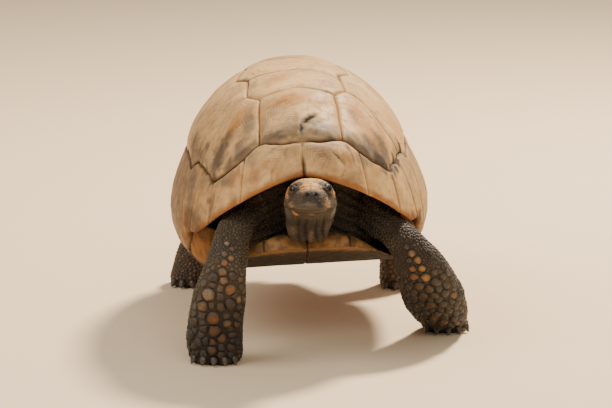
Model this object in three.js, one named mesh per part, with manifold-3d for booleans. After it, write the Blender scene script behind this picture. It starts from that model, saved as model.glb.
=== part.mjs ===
// A yellow-footed tortoise in mid-step, life size: millimetres, +Z up, head towards -Y.
// The shell is laid out in its own frame (origin on the belly plane under the highest point) and
// then leans and turns a little as the animal walks. Legs, neck and head are in the standing frame.
import * as THREE from 'three';
import { mergeVertices } from 'three/addons/utils/BufferGeometryUtils.js';
import Module from 'manifold-3d';

const wasm = await Module();
wasm.setup();

// ---------------------------------------------------------------- driving dimensions
const SHELL_HALF_WIDTH = 135;
const SHELL_HALF_LENGTH = 222;
const PLAN_SQUARENESS = 2.25;        // superellipse exponent of the shell's outline from above
const DOME_TOP = 194;                // above the belly plane
const RIDGE_HEIGHT = 51;             // the widest line, along the bridge and the rear rim
const FRONT_RIM_RISE = 67;           // how much the rim climbs over the neck
const FRONT_RIM_ANGLE = 51;          // from the middle of the front to the corner of the rim
const REAR_RIM_DROP = 6;
const BELLY_CLEARANCE = 80;          // floor to belly plane
const SHELL_LEAN = 3.0;              // degrees, its right side lower
const SHELL_TURN = 2.5;              // degrees, towards its own left
const SHELL_OFFSET_X = 2.5;
const PLATE_THICKNESS = 4;
const SEAM_GAP = 0.45;               // between a plate and the true seam line
const SEAM_DEPTH = 1.4;              // plates sink this far at their seams
const VERTEBRAL_SWELL = 1.6;         // how far the middle of a plate stands out
const COSTAL_SWELL = 1.2;
const FLESH_GAP = 0.35;              // between parts of the body
const HEAD_X = 12.2;
const EYE_RADIUS = 6.6;
const TRUNK_DEPTH = 8.5;             // body wall under the outer surface of the shell

const rad = THREE.MathUtils.degToRad;
const lerp = THREE.MathUtils.lerp;
const clamp = THREE.MathUtils.clamp;
const smooth = THREE.MathUtils.smoothstep;

// ---------------------------------------------------------------- curves
// A smooth function of one number through a few points, without overshoot between them.
function curve(points) {
  const last = points.length - 1;
  const slope = (k) => (points[k + 1][1] - points[k][1]) / (points[k + 1][0] - points[k][0]);
  const tangent = points.map((point, k) => {
    if (k === 0) return slope(0) * (points.length > 3 ? 0 : 1);
    if (k === last) return slope(last - 1);
    const before = slope(k - 1);
    const after = slope(k);
    return before * after > 0 ? (2 * before * after) / (before + after) : 0;
  });
  return (x) => {
    let k = 0;
    while (k < last - 1 && x > points[k + 1][0]) k += 1;
    const width = points[k + 1][0] - points[k][0];
    const t = (x - points[k][0]) / width;
    if (t > 1) return points[last][1] + (x - points[last][0]) * tangent[last];
    const u = Math.max(t, 0);
    const rise = u * u * (3 - 2 * u);
    return points[k][1] * (1 - rise) + points[k + 1][1] * rise
      + width * (tangent[k] * u * (1 - u) * (1 - u) - tangent[k + 1] * u * u * (1 - u));
  };
}

// The point a share t of the way along a polyline, by length.
function along(line, t) {
  const path = new THREE.CurvePath();
  for (let k = 1; k < line.length; k += 1) {
    path.add(new THREE.LineCurve(new THREE.Vector2(...line[k - 1]), new THREE.Vector2(...line[k])));
  }
  return path.getPointAt(clamp(t, 0, 1)).toArray();
}

// ---------------------------------------------------------------- solids
// A closed skin over a stack of loops with equal numbers of points; a loop may be a single point.
function loft(loops) {
  const positions = [];
  const index = [];
  const sides = Math.max(...loops.map((loop) => loop.length));
  const middle = (loop) => loop.reduce((sum, p) => sum.add(p), new THREE.Vector3()).divideScalar(loop.length);
  const rings = [[middle(loops[0])], ...loops, [middle(loops[loops.length - 1])]]
    .filter((ring, k, all) => ring.length > 1 || k === 0 || k === all.length - 1);
  const starts = rings.map((ring) => {
    const start = positions.length / 3;
    ring.forEach((p) => positions.push(p.x, p.y, p.z));
    return start;
  });
  const at = (ring, side) => starts[ring] + (rings[ring].length > 1 ? side % sides : 0);
  for (let ring = 0; ring < rings.length - 1; ring += 1) {
    for (let side = 0; side < sides; side += 1) {
      const [a, b] = [at(ring, side), at(ring, side + 1)];
      const [c, d] = [at(ring + 1, side), at(ring + 1, side + 1)];
      if (a !== b) index.push(a, b, d);
      if (c !== d) index.push(a, d, c);
    }
  }
  return facingOut(positions, index);
}

// A plate with a lower and an upper face, each a grid of columns by rows, and a wall round it.
function slab(columns, rows, lower, upper) {
  const positions = [];
  const index = [];
  [lower, upper].forEach((face) => {
    for (let r = 0; r <= rows; r += 1) {
      for (let c = 0; c <= columns; c += 1) positions.push(...face(c / columns, r / rows).toArray());
    }
  });
  const lift = (columns + 1) * (rows + 1);
  const at = (c, r) => r * (columns + 1) + c;
  const quad = (a, b, c, d) => index.push(a, b, c, a, c, d);
  for (let r = 0; r < rows; r += 1) {
    for (let c = 0; c < columns; c += 1) {
      quad(at(c, r), at(c, r + 1), at(c + 1, r + 1), at(c + 1, r));
      quad(at(c, r) + lift, at(c + 1, r) + lift, at(c + 1, r + 1) + lift, at(c, r + 1) + lift);
    }
  }
  const wall = (a, b) => quad(a, b, b + lift, a + lift);
  for (let c = 0; c < columns; c += 1) {
    wall(at(c, 0), at(c + 1, 0));
    wall(at(c + 1, rows), at(c, rows));
  }
  for (let r = 0; r < rows; r += 1) {
    wall(at(0, r + 1), at(0, r));
    wall(at(columns, r), at(columns, r + 1));
  }
  return facingOut(positions, index);
}

function facingOut(positions, index) {
  let volume = 0;
  const p = (k) => new THREE.Vector3().fromArray(positions, index[k] * 3);
  for (let k = 0; k < index.length; k += 3) volume += p(k).dot(p(k + 1).cross(p(k + 2)));
  if (volume < 0) {
    for (let k = 0; k < index.length; k += 3) [index[k], index[k + 1]] = [index[k + 1], index[k]];
  }
  const geometry = new THREE.BufferGeometry();
  geometry.setAttribute('position', new THREE.Float32BufferAttribute(positions, 3));
  geometry.setIndex(index);
  return geometry;
}

function toManifold(geometry) {
  const bare = geometry.clone();
  bare.deleteAttribute('normal');
  bare.deleteAttribute('uv');
  const merged = mergeVertices(bare, 1e-3);
  return new wasm.Manifold(new wasm.Mesh({
    numProp: 3,
    vertProperties: new Float32Array(merged.attributes.position.array),
    triVerts: new Uint32Array(merged.index.array),
  }));
}

function fromManifold(solid) {
  const { vertProperties, triVerts } = solid.getMesh();
  const geometry = new THREE.BufferGeometry();
  geometry.setAttribute('position', new THREE.BufferAttribute(new Float32Array(vertProperties), 3));
  geometry.setIndex(new THREE.BufferAttribute(new Uint32Array(triVerts), 1));
  return geometry;
}

// Cuts the other solids away, and drops any sliver that a cut leaves beside the main piece.
function cut(geometry, ...others) {
  const rest = others.reduce((solid, other) => solid.subtract(toManifold(other)), toManifold(geometry));
  const pieces = rest.decompose().sort((a, b) => b.volume() - a.volume());
  return fromManifold(pieces[0]);
}

function common(geometry, other) {
  const pieces = toManifold(geometry).intersect(toManifold(other)).decompose();
  return fromManifold(pieces.sort((a, b) => b.volume() - a.volume())[0]);
}

// ---------------------------------------------------------------- materials
const finish = (color, roughness) => new THREE.MeshStandardMaterial({ color, roughness, metalness: 0 });
const SHELL = finish('#a89c86', 0.55);
const RIM = finish('#a58a68', 0.55);
const BELLY = finish('#8f6f3c', 0.55);
const SKIN = finish('#3a3734', 0.75);
const HEAD_SKIN = finish('#6d6456', 0.7);
const BEAK = finish('#77736a', 0.5);
const CLAW = finish('#574d42', 0.45);
const EYE = finish('#120f0d', 0.08);

const tortoise = new THREE.Group();
const shell = new THREE.Group();
shell.position.set(SHELL_OFFSET_X, 0, BELLY_CLEARANCE);
shell.rotation.set(0, rad(-SHELL_LEAN), rad(SHELL_TURN), 'ZYX');
shell.updateMatrix();
tortoise.add(shell);

function add(group, name, geometry, material) {
  geometry.computeVertexNormals();
  const mesh = new THREE.Mesh(geometry, material);
  mesh.name = name;
  group.add(mesh);
}

// ---------------------------------------------------------------- the dome of the carapace
// Height of the surface from the rim (0) to the top (1), against the distance from the middle (0)
// to the rim (1), for the middle lines forwards, sideways and backwards.
const FORWARD = curve([[0, 1], [0.4, 0.985], [0.586, 0.934], [0.766, 0.684], [0.932, 0.368], [0.973, 0.184], [1, 0]]);
const SIDEWAYS = curve([[0, 1], [0.22, 0.985], [0.4, 0.914], [0.564, 0.8], [0.683, 0.686], [0.777, 0.571],
  [0.844, 0.457], [0.878, 0.343], [0.932, 0.229], [0.976, 0.114], [1, 0]]);
const BACKWARD = curve([[0, 1], [0.2, 0.993], [0.405, 0.946], [0.586, 0.846], [0.766, 0.671], [0.878, 0.483],
  [0.946, 0.302], [0.986, 0.134], [1, 0]]);

// Angles run from 0 at the front, through 90 at the animal's left side, to 180 at the back.
function rimHeight(angle) {
  const a = Math.abs(angle);
  if (a < FRONT_RIM_ANGLE) return RIDGE_HEIGHT + FRONT_RIM_RISE * (1 - (a / FRONT_RIM_ANGLE) ** 1.5);
  return RIDGE_HEIGHT - REAR_RIM_DROP * smooth(a, 110, 180);
}

function rimReach(angle) {
  const s = Math.abs(Math.sin(rad(angle)));
  const c = Math.abs(Math.cos(rad(angle)));
  return (s ** PLAN_SQUARENESS + c ** PLAN_SQUARENESS) ** (-1 / PLAN_SQUARENESS);
}

// Plan position from the angle and the share of the way out to the rim.
function plan(angle, share) {
  const reach = rimReach(angle) * share;
  return [SHELL_HALF_WIDTH * reach * Math.sin(rad(angle)), -SHELL_HALF_LENGTH * reach * Math.cos(rad(angle))];
}

function domeHeight(x, y) {
  const angle = THREE.MathUtils.radToDeg(Math.atan2(x / SHELL_HALF_WIDTH, -y / SHELL_HALF_LENGTH));
  const share = Math.hypot(x / SHELL_HALF_WIDTH, y / SHELL_HALF_LENGTH) / rimReach(angle);
  const lengthways = Math.cos(rad(angle)) ** 2;
  const ends = y < 0 ? FORWARD(share) : BACKWARD(share);
  const rise = (1 - lengthways) * SIDEWAYS(share) + lengthways * ends;
  return rimHeight(angle) + (DOME_TOP - rimHeight(angle)) * rise;
}

// A point at some depth under the outer surface, square to it.
function onDome(x, y, depth) {
  const step = 0.5;
  const normal = new THREE.Vector3(
    (domeHeight(x - step, y) - domeHeight(x + step, y)) / (2 * step),
    (domeHeight(x, y - step) - domeHeight(x, y + step)) / (2 * step),
    1,
  ).normalize();
  return new THREE.Vector3(x, y, domeHeight(x, y)).addScaledVector(normal, -depth);
}

// ---------------------------------------------------------------- marginal plates
// The upper edge of the marginals, as a share of the way out to the rim.
const MARGINAL_TOP = curve([[-10, 0.912], [0, 0.926], [10, 0.912], [20, 0.888], [27, 0.917], [34, 0.935], [42.5, 0.938],
  [49, 0.89], [53.5, 0.873], [60, 0.862], [66.5, 0.876], [72, 0.862], [84, 0.854], [100, 0.862], [118, 0.872],
  [134, 0.876], [150, 0.884], [164, 0.9], [180, 0.91], [190, 0.905]]);
// Each seam between marginals leans: its angle at the upper edge and at the rim.
const SEAMS = [[0, 0], [26.5, 27.5], [42.5, 43.5], [53.5, 56], [66.5, 63.5], [78, 77.5], [90, 90], [102, 103],
  [115, 117], [131, 133], [147, 149], [164, 166], [196, 194]];
// Shares of the way along a marginal where it has a cross-section.
const MARGINAL_STEPS = [0, 0.08, 0.5, 0.92];
const RIM_LIP = 7;                   // how far the lip of the rim turns in
const TOP_GAP = 0.004;               // share of the way out between marginals and costals
const RUN_GAP = 0.18;                // degrees, half the gap between two runs of marginals
const BRIDGE_DROP = 30;              // marginals of the bridge turn under by this much

function bridging(angle) {
  const a = Math.abs(angle);
  return smooth(a, 55, 63) * (1 - smooth(a, 114, 124));
}

// Closed section across the rim, from its upper edge over the ridge and back inside.
function marginalSection(topAngle, rimAngle, side, sunk) {
  const bridge = bridging(rimAngle);
  const top = MARGINAL_TOP(topAngle) + TOP_GAP;
  const point = (share, depth) => {
    const angle = lerp(topAngle, rimAngle, clamp((share - top) / (1 - top), 0, 1));
    return onDome(...plan(angle, share), depth);
  };
  const lower = (drop, inset) => {
    const ridge = onDome(...plan(rimAngle, 1), 0);
    const inward = new THREE.Vector3(-ridge.x, -ridge.y, 0).normalize();
    return ridge.addScaledVector(inward, inset).add(new THREE.Vector3(0, 0, -drop));
  };
  const section = [
    point(top, sunk),
    point(lerp(top, 1, 0.4), sunk - 0.6),
    point(lerp(top, 1, 0.8), sunk - 0.4),
    lower(0, sunk * 0.6),
    lower(lerp(2.5, BRIDGE_DROP * 0.5, bridge), lerp(2.5, 1.5, bridge) + sunk * 0.6),
    lower(lerp(1.5, BRIDGE_DROP, bridge), lerp(RIM_LIP, 6.5, bridge) + sunk * 0.3),
    lower(lerp(-6, BRIDGE_DROP - 1.5, bridge), lerp(RIM_LIP + 5, 12, bridge)),
    point(top, PLATE_THICKNESS + 1),
  ];
  return section.map((p) => new THREE.Vector3(p.x * side, p.y, p.z));
}

function marginalRun(first, last, side) {
  const sections = [];
  for (let plate = first; plate <= last; plate += 1) {
    const steps = plate === last ? [...MARGINAL_STEPS, 1] : MARGINAL_STEPS;
    steps.forEach((step) => {
      const seam = step === 0 || step === 1;
      const inset = plate === first && step === 0 ? 1 : plate === last && step === 1 ? -1 : 0;
      const top = lerp(SEAMS[plate - 1][0], SEAMS[plate][0], step) + inset * RUN_GAP;
      const rim = lerp(SEAMS[plate - 1][1], SEAMS[plate][1], step) + inset * RUN_GAP;
      sections.push(marginalSection(top, rim, side, seam ? SEAM_DEPTH : 0));
    });
  }
  return loft(sections);
}

[['left', 1], ['right', -1]].forEach(([name, side]) => {
  add(shell, `marginals_front_${name}`, marginalRun(1, 3, side), RIM);
  add(shell, `marginals_bridge_${name}`, marginalRun(4, 7, side), RIM);
  add(shell, `marginals_rear_${name}`, marginalRun(8, 11, side), RIM);
});
add(shell, 'supracaudal', marginalRun(12, 12, 1), RIM);

// ---------------------------------------------------------------- vertebral and costal plates
// Seams of the animal's left half in plan, [x, y] with the middle line first; the right half mirrors them.
const ACROSS = [
  [[0, -206], [21, -201], [42, -189]],
  [[0, -126], [18, -131], [38, -132]],
  [[0, -42], [24, -44], [47, -42]],
  [[0, 44], [24, 45], [46, 43]],
  [[0, 124], [18, 123], [34, 120]],
];
// Corners of the vertebrals where two costals meet.
const CORNERS = [[51, -108], [60, 2], [56, 86]];
// Angles where the seams between costals reach the marginals.
const COSTAL_ENDS = [20, 56.5, 84, 118.4, 150];
const COSTAL_SEAMS = [
  [[51, -108], [62, -104], [73, -100], [84, -103], plan(56.5, MARGINAL_TOP(56.5))],
  [[60, 2], [88, -8], plan(84, MARGINAL_TOP(84))],
  [[56, 86], [84, 96], plan(118.4, MARGINAL_TOP(118.4))],
];
const FIRST_SIDE = [[42, -189], [41, -171], [40.5, -153], [38, -132]];
const LAST_SIDE = [[34, 120], [50, 152], plan(150, MARGINAL_TOP(150))];

function rimLine(from, to) {
  const steps = Math.max(3, Math.round(Math.abs(to - from) / 6));
  return Array.from({ length: steps + 1 }, (none, k) => {
    const angle = lerp(from, to, k / steps);
    return plan(angle, MARGINAL_TOP(angle));
  });
}

function finer(line, steps) {
  return Array.from({ length: steps + 1 }, (none, k) => along(line, k / steps));
}

const mirrored = (line) => line.map(([x, y]) => [-x, y]);
const backwards = (line) => [...line].reverse();

// Joins seam lines end to end into one loop, without the corners they share.
function loopOf(...lines) {
  return lines.flatMap((line) => line.slice(0, -1));
}

// One plate: sunk at its seams, swelling to a low centre, with an inner face square under it.
function plate(loop, middle, swell) {
  const ring = (share, depth) => loop.map(([x, y]) => {
    const length = Math.hypot(x - middle[0], y - middle[1]);
    const reach = share * (1 - SEAM_GAP / length);
    return onDome(lerp(middle[0], x, reach), lerp(middle[1], y, reach), depth);
  });
  return loft([
    [onDome(middle[0], middle[1], -swell)],
    ring(0.45, -swell),
    ring(0.94, -0.2),
    ring(1, SEAM_DEPTH),
    ring(1, PLATE_THICKNESS + SEAM_DEPTH),
    ring(0.55, PLATE_THICKNESS + SEAM_DEPTH),
    [onDome(middle[0], middle[1], PLATE_THICKNESS + SEAM_DEPTH)],
  ]);
}

function vertebralSides(k) {
  if (k === 0) return finer(FIRST_SIDE, 3);
  if (k === 4) return finer(LAST_SIDE, 3);
  const corner = CORNERS[k - 1];
  const [front, back] = [ACROSS[k][2], ACROSS[k + 1][2]];
  return [front, corner, back];
}

for (let k = 0; k < 5; k += 1) {
  const front = ACROSS[k];
  const sides = vertebralSides(k);
  const rear = k < 4 ? backwards(ACROSS[k + 1]) : rimLine(150, 180);
  const rightRear = mirrored(backwards(rear));
  const loop = loopOf(front, sides, rear, rightRear, mirrored(backwards(sides)), mirrored(backwards(front)));
  const middleY = [-158, -84, 1, 84, 164][k];
  add(shell, `vertebral_${k + 1}`, plate(loop, [0, middleY], VERTEBRAL_SWELL), SHELL);
}

const COSTAL_MIDDLES = [[70, -142], [88, -52], [90, 44], [74, 128]];
const COSTAL_INNER = [
  [CORNERS[0], ACROSS[1][2], ...backwards(finer(FIRST_SIDE, 3)).slice(1)],
  [CORNERS[1], ACROSS[2][2], CORNERS[0]],
  [CORNERS[2], ACROSS[3][2], CORNERS[1]],
  [...backwards(finer(LAST_SIDE, 3)), CORNERS[2]],
];
for (let k = 0; k < 4; k += 1) {
  const frontSeam = k > 0 ? finer(COSTAL_SEAMS[k - 1], 4) : [];
  const rearSeam = k < 3 ? finer(COSTAL_SEAMS[k], 4) : [];
  const border = rimLine(COSTAL_ENDS[k], COSTAL_ENDS[k + 1]);
  const loop = loopOf(frontSeam, border, backwards(rearSeam), COSTAL_INNER[k]);
  add(shell, `costal_left_${k + 1}`, plate(loop, COSTAL_MIDDLES[k], COSTAL_SWELL), SHELL);
  const [middle] = mirrored([COSTAL_MIDDLES[k]]);
  add(shell, `costal_right_${k + 1}`, plate(mirrored(loop), middle, COSTAL_SWELL), SHELL);
}

// ---------------------------------------------------------------- plastron
const LOBE_START = -99;              // in front of this line the belly plate curves up
const LOBE_END = -203;
const LOBE_RISE = 38;
const REAR_START = 150;
const REAR_RISE = 7;
const BRIDGE_FOOT = 90;              // where the flat belly turns up into the bridge
const BRIDGE_NOMINAL = 128;
const BRIDGE_TOP = 20.6;
const BELLY_THICKNESS = 6;
const GULAR_PAD = 15;                // extra thickness of the lip under the neck
const ROW_GAP = 0.6;

// Outer end of the bridge, just under the lower edge of the marginals.
function bridgeEnd(y) {
  const share = Math.min(Math.abs(y) / SHELL_HALF_LENGTH, 1);
  return SHELL_HALF_WIDTH * (1 - share ** PLAN_SQUARENESS) ** (1 / PLAN_SQUARENESS) - 6.9;
}

function bellyPoint(x, y) {
  const out = Math.max(0, (Math.abs(x) - BRIDGE_FOOT) / (BRIDGE_NOMINAL - BRIDGE_FOOT));
  const reach = Math.min(Math.abs(x), BRIDGE_FOOT) + out * (bridgeEnd(y) - BRIDGE_FOOT);
  const front = LOBE_RISE * Math.max(0, (y - LOBE_START) / (LOBE_END - LOBE_START)) ** 1.25;
  const rear = REAR_RISE * Math.max(0, (y - REAR_START) / 55) ** 1.5;
  return new THREE.Vector3(Math.sign(x) * reach, y, BRIDGE_TOP * out ** 2.6 + front + rear);
}

function bellyInside(x, y) {
  const step = 0.5;
  const lower = bellyPoint(x, y);
  const across = bellyPoint(x + step, y).sub(bellyPoint(x - step, y));
  const lengthways = bellyPoint(x, y + step).sub(bellyPoint(x, y - step));
  const pad = GULAR_PAD * smooth(-y, 140, 168) * (1 - smooth(-y, 174, 205)) * (1 - smooth(Math.abs(x), 8, 68));
  const inside = lower.addScaledVector(across.cross(lengthways).normalize(), BELLY_THICKNESS + pad);
  inside.z = Math.abs(x) > BRIDGE_FOOT + 1 ? Math.min(inside.z, BRIDGE_TOP) : inside.z;
  return inside;
}

// Each row is two plates joined at the middle line, between a front and a rear line of the left half.
const BELLY_ROWS = {
  gular: [[[0, -202], [24, -205.5], [42, -203]], [[0, -150], [43, -200.5]]],
  humeral: [[[0, -150], [43, -200.5], [60, -187]], [[0, -78], [60, -101], [91, -113]]],
  pectoral: [[[0, -78], [60, -101], [91, -113], [128, -104]], [[0, -55], [60, -60], [91, -68], [128, -64]]],
  abdominal: [[[0, -55], [60, -60], [91, -68], [128, -64]], [[0, 78], [58, 90], [86, 102], [128, 96]]],
  femoral: [[[0, 78], [58, 90], [82, 101]], [[0, 150], [36, 166], [54, 177]]],
  anal: [[[0, 150], [36, 166], [54, 177]], [[0, 188], [20, 200], [38, 203], [50, 189]]],
};
const BELLY_BULGE = { gular: 0, humeral: 7, pectoral: 0, abdominal: 0, femoral: 0, anal: 0 };

Object.entries(BELLY_ROWS).forEach(([name, [frontLine, rearLine]]) => {
  const place = (u, v) => {
    const share = Math.abs(2 * u - 1);
    const front = along(frontLine, share);
    const rear = along(rearLine, share);
    const bulge = 1 + (BELLY_BULGE[name] / 90) * share * Math.sin(Math.PI * v);
    const x = Math.sign(2 * u - 1) * lerp(front[0], rear[0], v) * bulge;
    return [x, lerp(front[1] + ROW_GAP, rear[1] - ROW_GAP, v)];
  };
  const rows = ['humeral', 'abdominal'].includes(name) ? 4 : 2;
  add(shell, `plastron_${name}`, slab(12, rows,
    (u, v) => bellyPoint(...place(u, v)),
    (u, v) => bellyInside(...place(u, v))), BELLY);
});

// ---------------------------------------------------------------- limbs
// A round-sided section across a limb, part of the way from an ellipse to a box.
function section(centre, side, across, halfSide, halfAcross, sides) {
  return Array.from({ length: sides }, (none, k) => {
    const angle = (2 * Math.PI * k) / sides;
    const [c, s] = [Math.cos(angle), Math.sin(angle)];
    const square = 1 / (Math.abs(c) ** 2.5 + Math.abs(s) ** 2.5) ** (1 / 2.5);
    return centre.clone()
      .addScaledVector(side, halfSide * square * c)
      .addScaledVector(across, halfAcross * square * s);
  });
}

const LIMB_SIDES = 14;
const SOLE_HEIGHT = 12;              // sections lower than this lie flat

// Stations run from the root to the sole: [x, y, z, half width, half depth]. The sideways direction
// of the sections is carried up from the sole, so that the limb doesn't twist.
function limb(stations, grow = 0) {
  const centres = stations.map(([x, y, z]) => new THREE.Vector3(x, y, z));
  const last = stations.length - 1;
  const side = new THREE.Vector3(1, 0, 0);
  const loops = [];
  for (let k = last; k >= 0; k -= 1) {
    const [, , z, halfWidth, halfDepth] = stations[k];
    const before = centres[Math.max(k - 1, 0)];
    const after = centres[Math.min(k + 1, last)];
    const tangent = z < SOLE_HEIGHT ? new THREE.Vector3(0, 0, -1) : after.clone().sub(before).normalize();
    side.addScaledVector(tangent, -side.dot(tangent)).normalize();
    const across = new THREE.Vector3().crossVectors(tangent, side);
    const lengthen = k === 0 ? -grow : k === last ? grow : 0;
    const centre = centres[k].clone().addScaledVector(tangent, lengthen);
    loops.push(section(centre, side, across, halfWidth + grow, halfDepth + grow, LIMB_SIDES));
  }
  return loft(loops);
}

const LIMBS = {
  foreleg_right: [[-46, -100, 150, 18, 18], [-55, -145, 143, 18.5, 17], [-64, -186, 131, 17.5, 15.5],
    [-70.5, -208, 107, 20.5, 15], [-76.5, -205, 80, 23.5, 16.5], [-81, -198, 52, 25.5, 18], [-83.5, -190, 28, 26, 20],
    [-82.5, -186, 10, 25.5, 22], [-82.5, -185.5, 3, 24.5, 21], [-82.5, -185.5, 0, 22, 18.5]],
  foreleg_left: [[48, -96, 154, 19, 18], [72, -136, 142, 19, 18], [104, -151, 119, 16, 18.5],
    [120, -148, 97, 24, 17], [129, -133, 74, 30, 18], [138.5, -109, 50, 32, 20.5], [147.5, -80, 28, 28.5, 21],
    [152.5, -56, 10, 25, 22.5], [153, -53, 3, 24.5, 21.5], [153, -53, 0, 22, 19]],
  hindleg_right: [[-40, 112, 138, 20, 22], [-60, 146, 122, 20, 22], [-80, 166, 100, 19.5, 20],
    [-95, 167, 77, 19.5, 20], [-106, 161, 55, 20, 21], [-116, 156, 33, 21, 21.5], [-121.5, 154, 10, 22.5, 23],
    [-121.5, 154.5, 3, 22, 22], [-121.5, 154.5, 0, 20, 20]],
  hindleg_left: [[46, 96, 150, 21, 22], [64, 119, 134, 21, 21], [90, 134, 109, 20, 21],
    [106.5, 140, 82, 20, 22], [111, 141, 56, 20.5, 21], [112, 143, 30, 21, 21.5], [112, 146, 10, 22, 23],
    [112, 147, 3, 21.5, 22], [112, 147, 0, 19.5, 20]],
};

// Blunt claws stand round the front of each foot, at these directions in degrees from straight ahead,
// and each points a little nearer to straight ahead than that.
const CLAWS = {
  foreleg_right: [-58, -30, -3, 24, 50],
  foreleg_left: [-48, -20, 8, 36, 62],
  hindleg_right: [-48, -20, 8, 36],
  hindleg_left: [-40, -12, 16, 44],
};
const CLAW_TURN = 0.6;
const CLAW_SIZE = { fore: [9, 5], hind: [8.5, 5.2] };

function claw(foot, direction, [length, radius]) {
  const heading = (degrees) => new THREE.Vector3(Math.sin(rad(degrees)), -Math.cos(rad(degrees)), 0);
  const outward = heading(direction);
  const forward = heading(direction * CLAW_TURN);
  const side = new THREE.Vector3(forward.y, -forward.x, 0);
  const tilt = new THREE.Vector3(0, 0, 1).addScaledVector(forward, 0.35).normalize();
  const [x, y, , halfWidth, halfDepth] = foot;
  const edge = 1 / Math.hypot(outward.x / halfWidth, outward.y / halfDepth);
  const root = new THREE.Vector3(x, y, 0).addScaledVector(outward, edge);
  const stations = [[-6, 8, 1], [length * 0.35, 7, 0.92], [length * 0.8, 4.2, 0.55], [length, 2.6, 0.2]];
  return loft(stations.map(([out, height, share]) => {
    const centre = new THREE.Vector3(0, 0, height).add(root).addScaledVector(forward, out);
    return section(centre, side, tilt, radius * share, radius * 0.8 * share, 6);
  }));
}

// ---------------------------------------------------------------- neck and head
// Sections across the head and neck: [y, x, half width, top, underside].
const NECK_SECTIONS = [[-140, 9, 31, 186, 138], [-165, 10.5, 29, 185, 139], [-185, 11.5, 27, 184, 139],
  [-200, HEAD_X, 25.5, 184, 137], [-212, HEAD_X, 24.4, 187, 134]];
const HEAD_SECTIONS = [[-212.35, HEAD_X, 24.4, 187, 134], [-224, HEAD_X, 25.3, 193.5, 139], [-237, HEAD_X, 25.6, 198, 150],
  [-250, HEAD_X, 24.8, 198, 157.5], [-262, HEAD_X + 0.4, 21.8, 196.3, 161.5], [-273, HEAD_X + 0.8, 17.6, 194.6, 164.5],
  [-282, HEAD_X + 1.2, 13.4, 192.8, 167.5], [-287.5, HEAD_X + 1.4, 8.6, 189.5, 172]];

function throughSections(sections, grow = 0) {
  return loft(sections.map(([y, x, halfWidth, top, under], k) => {
    const shift = k === 0 ? grow : k === sections.length - 1 ? -grow : 0;
    const centre = new THREE.Vector3(x, y + shift, (top + under) / 2);
    const half = (top - under) / 2;
    return section(centre, new THREE.Vector3(1, 0, 0), new THREE.Vector3(0, 0, 1), halfWidth + grow, half + grow, 20);
  }));
}

const EYES = { eye_right: [HEAD_X - 14, -256.5, 188.6], eye_left: [HEAD_X + 14.4, -256.5, 188.6] };
const MOUTH_SLOPE = 8.6;             // degrees, down towards the corners
const MOUTH_FRONT = [HEAD_X, -284, 176.4];

function ball(centre, radius) {
  return new THREE.SphereGeometry(radius, 12, 8).rotateX(Math.PI / 2).translate(...centre);
}

// A block of the snout between two heights measured from the mouth line, in front of a given depth.
function snoutBlock(depth, from, to) {
  return new THREE.BoxGeometry(60, depth + 20, to - from)
    .translate(0, depth / 2 - 10, (from + to) / 2)
    .rotateX(rad(-MOUTH_SLOPE))
    .translate(...MOUTH_FRONT);
}

const NOSTRILS = [-4.2, 4.2].map((offset) => new THREE.CylinderGeometry(1.1, 0.9, 7, 8)
  .rotateX(rad(-12))
  .translate(HEAD_X + 1.3 + offset, -285.5, 190));

const wholeHead = throughSections(HEAD_SECTIONS);
const sockets = Object.values(EYES).map((centre) => ball(centre, EYE_RADIUS + FLESH_GAP));
const head = cut(wholeHead, ...sockets, ...NOSTRILS, snoutBlock(17 + FLESH_GAP, -FLESH_GAP, 9 + FLESH_GAP),
  snoutBlock(24 + FLESH_GAP, -8 - FLESH_GAP, FLESH_GAP));
add(tortoise, 'head', head, HEAD_SKIN);
add(tortoise, 'beak_upper', common(wholeHead, snoutBlock(17, FLESH_GAP / 2, 9)), BEAK);
add(tortoise, 'beak_lower', common(wholeHead, snoutBlock(24, -8, -FLESH_GAP / 2)), BEAK);
Object.entries(EYES).forEach(([name, centre]) => add(tortoise, name, ball(centre, EYE_RADIUS), EYE));
add(tortoise, 'neck', throughSections(NECK_SECTIONS), SKIN);

// ---------------------------------------------------------------- tail
const TAIL = [[0, 150, 40, 17], [0, 176, 36, 15], [2, 196, 28, 11], [6, 209, 18, 7], [9, 216, 10, 3.5]];

function tail(grow = 0) {
  return loft(TAIL.map(([x, y, z, radius], k) => {
    const next = TAIL[Math.min(k + 1, TAIL.length - 1)];
    const last = TAIL[Math.max(k - 1, 0)];
    const along3 = new THREE.Vector3(next[0] - last[0], next[1] - last[1], next[2] - last[2]).normalize();
    const side = new THREE.Vector3(1, 0, 0);
    side.addScaledVector(along3, -side.dot(along3)).normalize();
    const across = new THREE.Vector3().crossVectors(along3, side);
    const centre = new THREE.Vector3(x, y, z).addScaledVector(along3, k === 0 ? -grow : 0);
    return section(centre, side, across, radius + grow, radius * 0.85 + grow, 12);
  })).applyMatrix4(shell.matrix);
}

add(tortoise, 'tail', tail(), SKIN);

// ---------------------------------------------------------------- trunk
// How far out the body wall stands under the shell: drawn in round the neck, the legs and the tail.
const WALL_SHARE = curve([[-12, 0.79], [0, 0.8], [25, 0.77], [45, 0.72], [62, 0.78], [72, 0.84], [90, 0.85], [108, 0.84],
  [120, 0.78], [140, 0.72], [160, 0.76], [180, 0.8], [192, 0.79]]);
const TRUNK_SIDES = 28;

function trunkRing(pointAt) {
  return Array.from({ length: TRUNK_SIDES }, (none, k) => {
    const turn = (360 * k) / TRUNK_SIDES;
    const angle = turn <= 180 ? turn : 360 - turn;
    const point = pointAt(angle);
    return turn <= 180 ? point : new THREE.Vector3(-point.x, point.y, point.z);
  });
}

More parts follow.
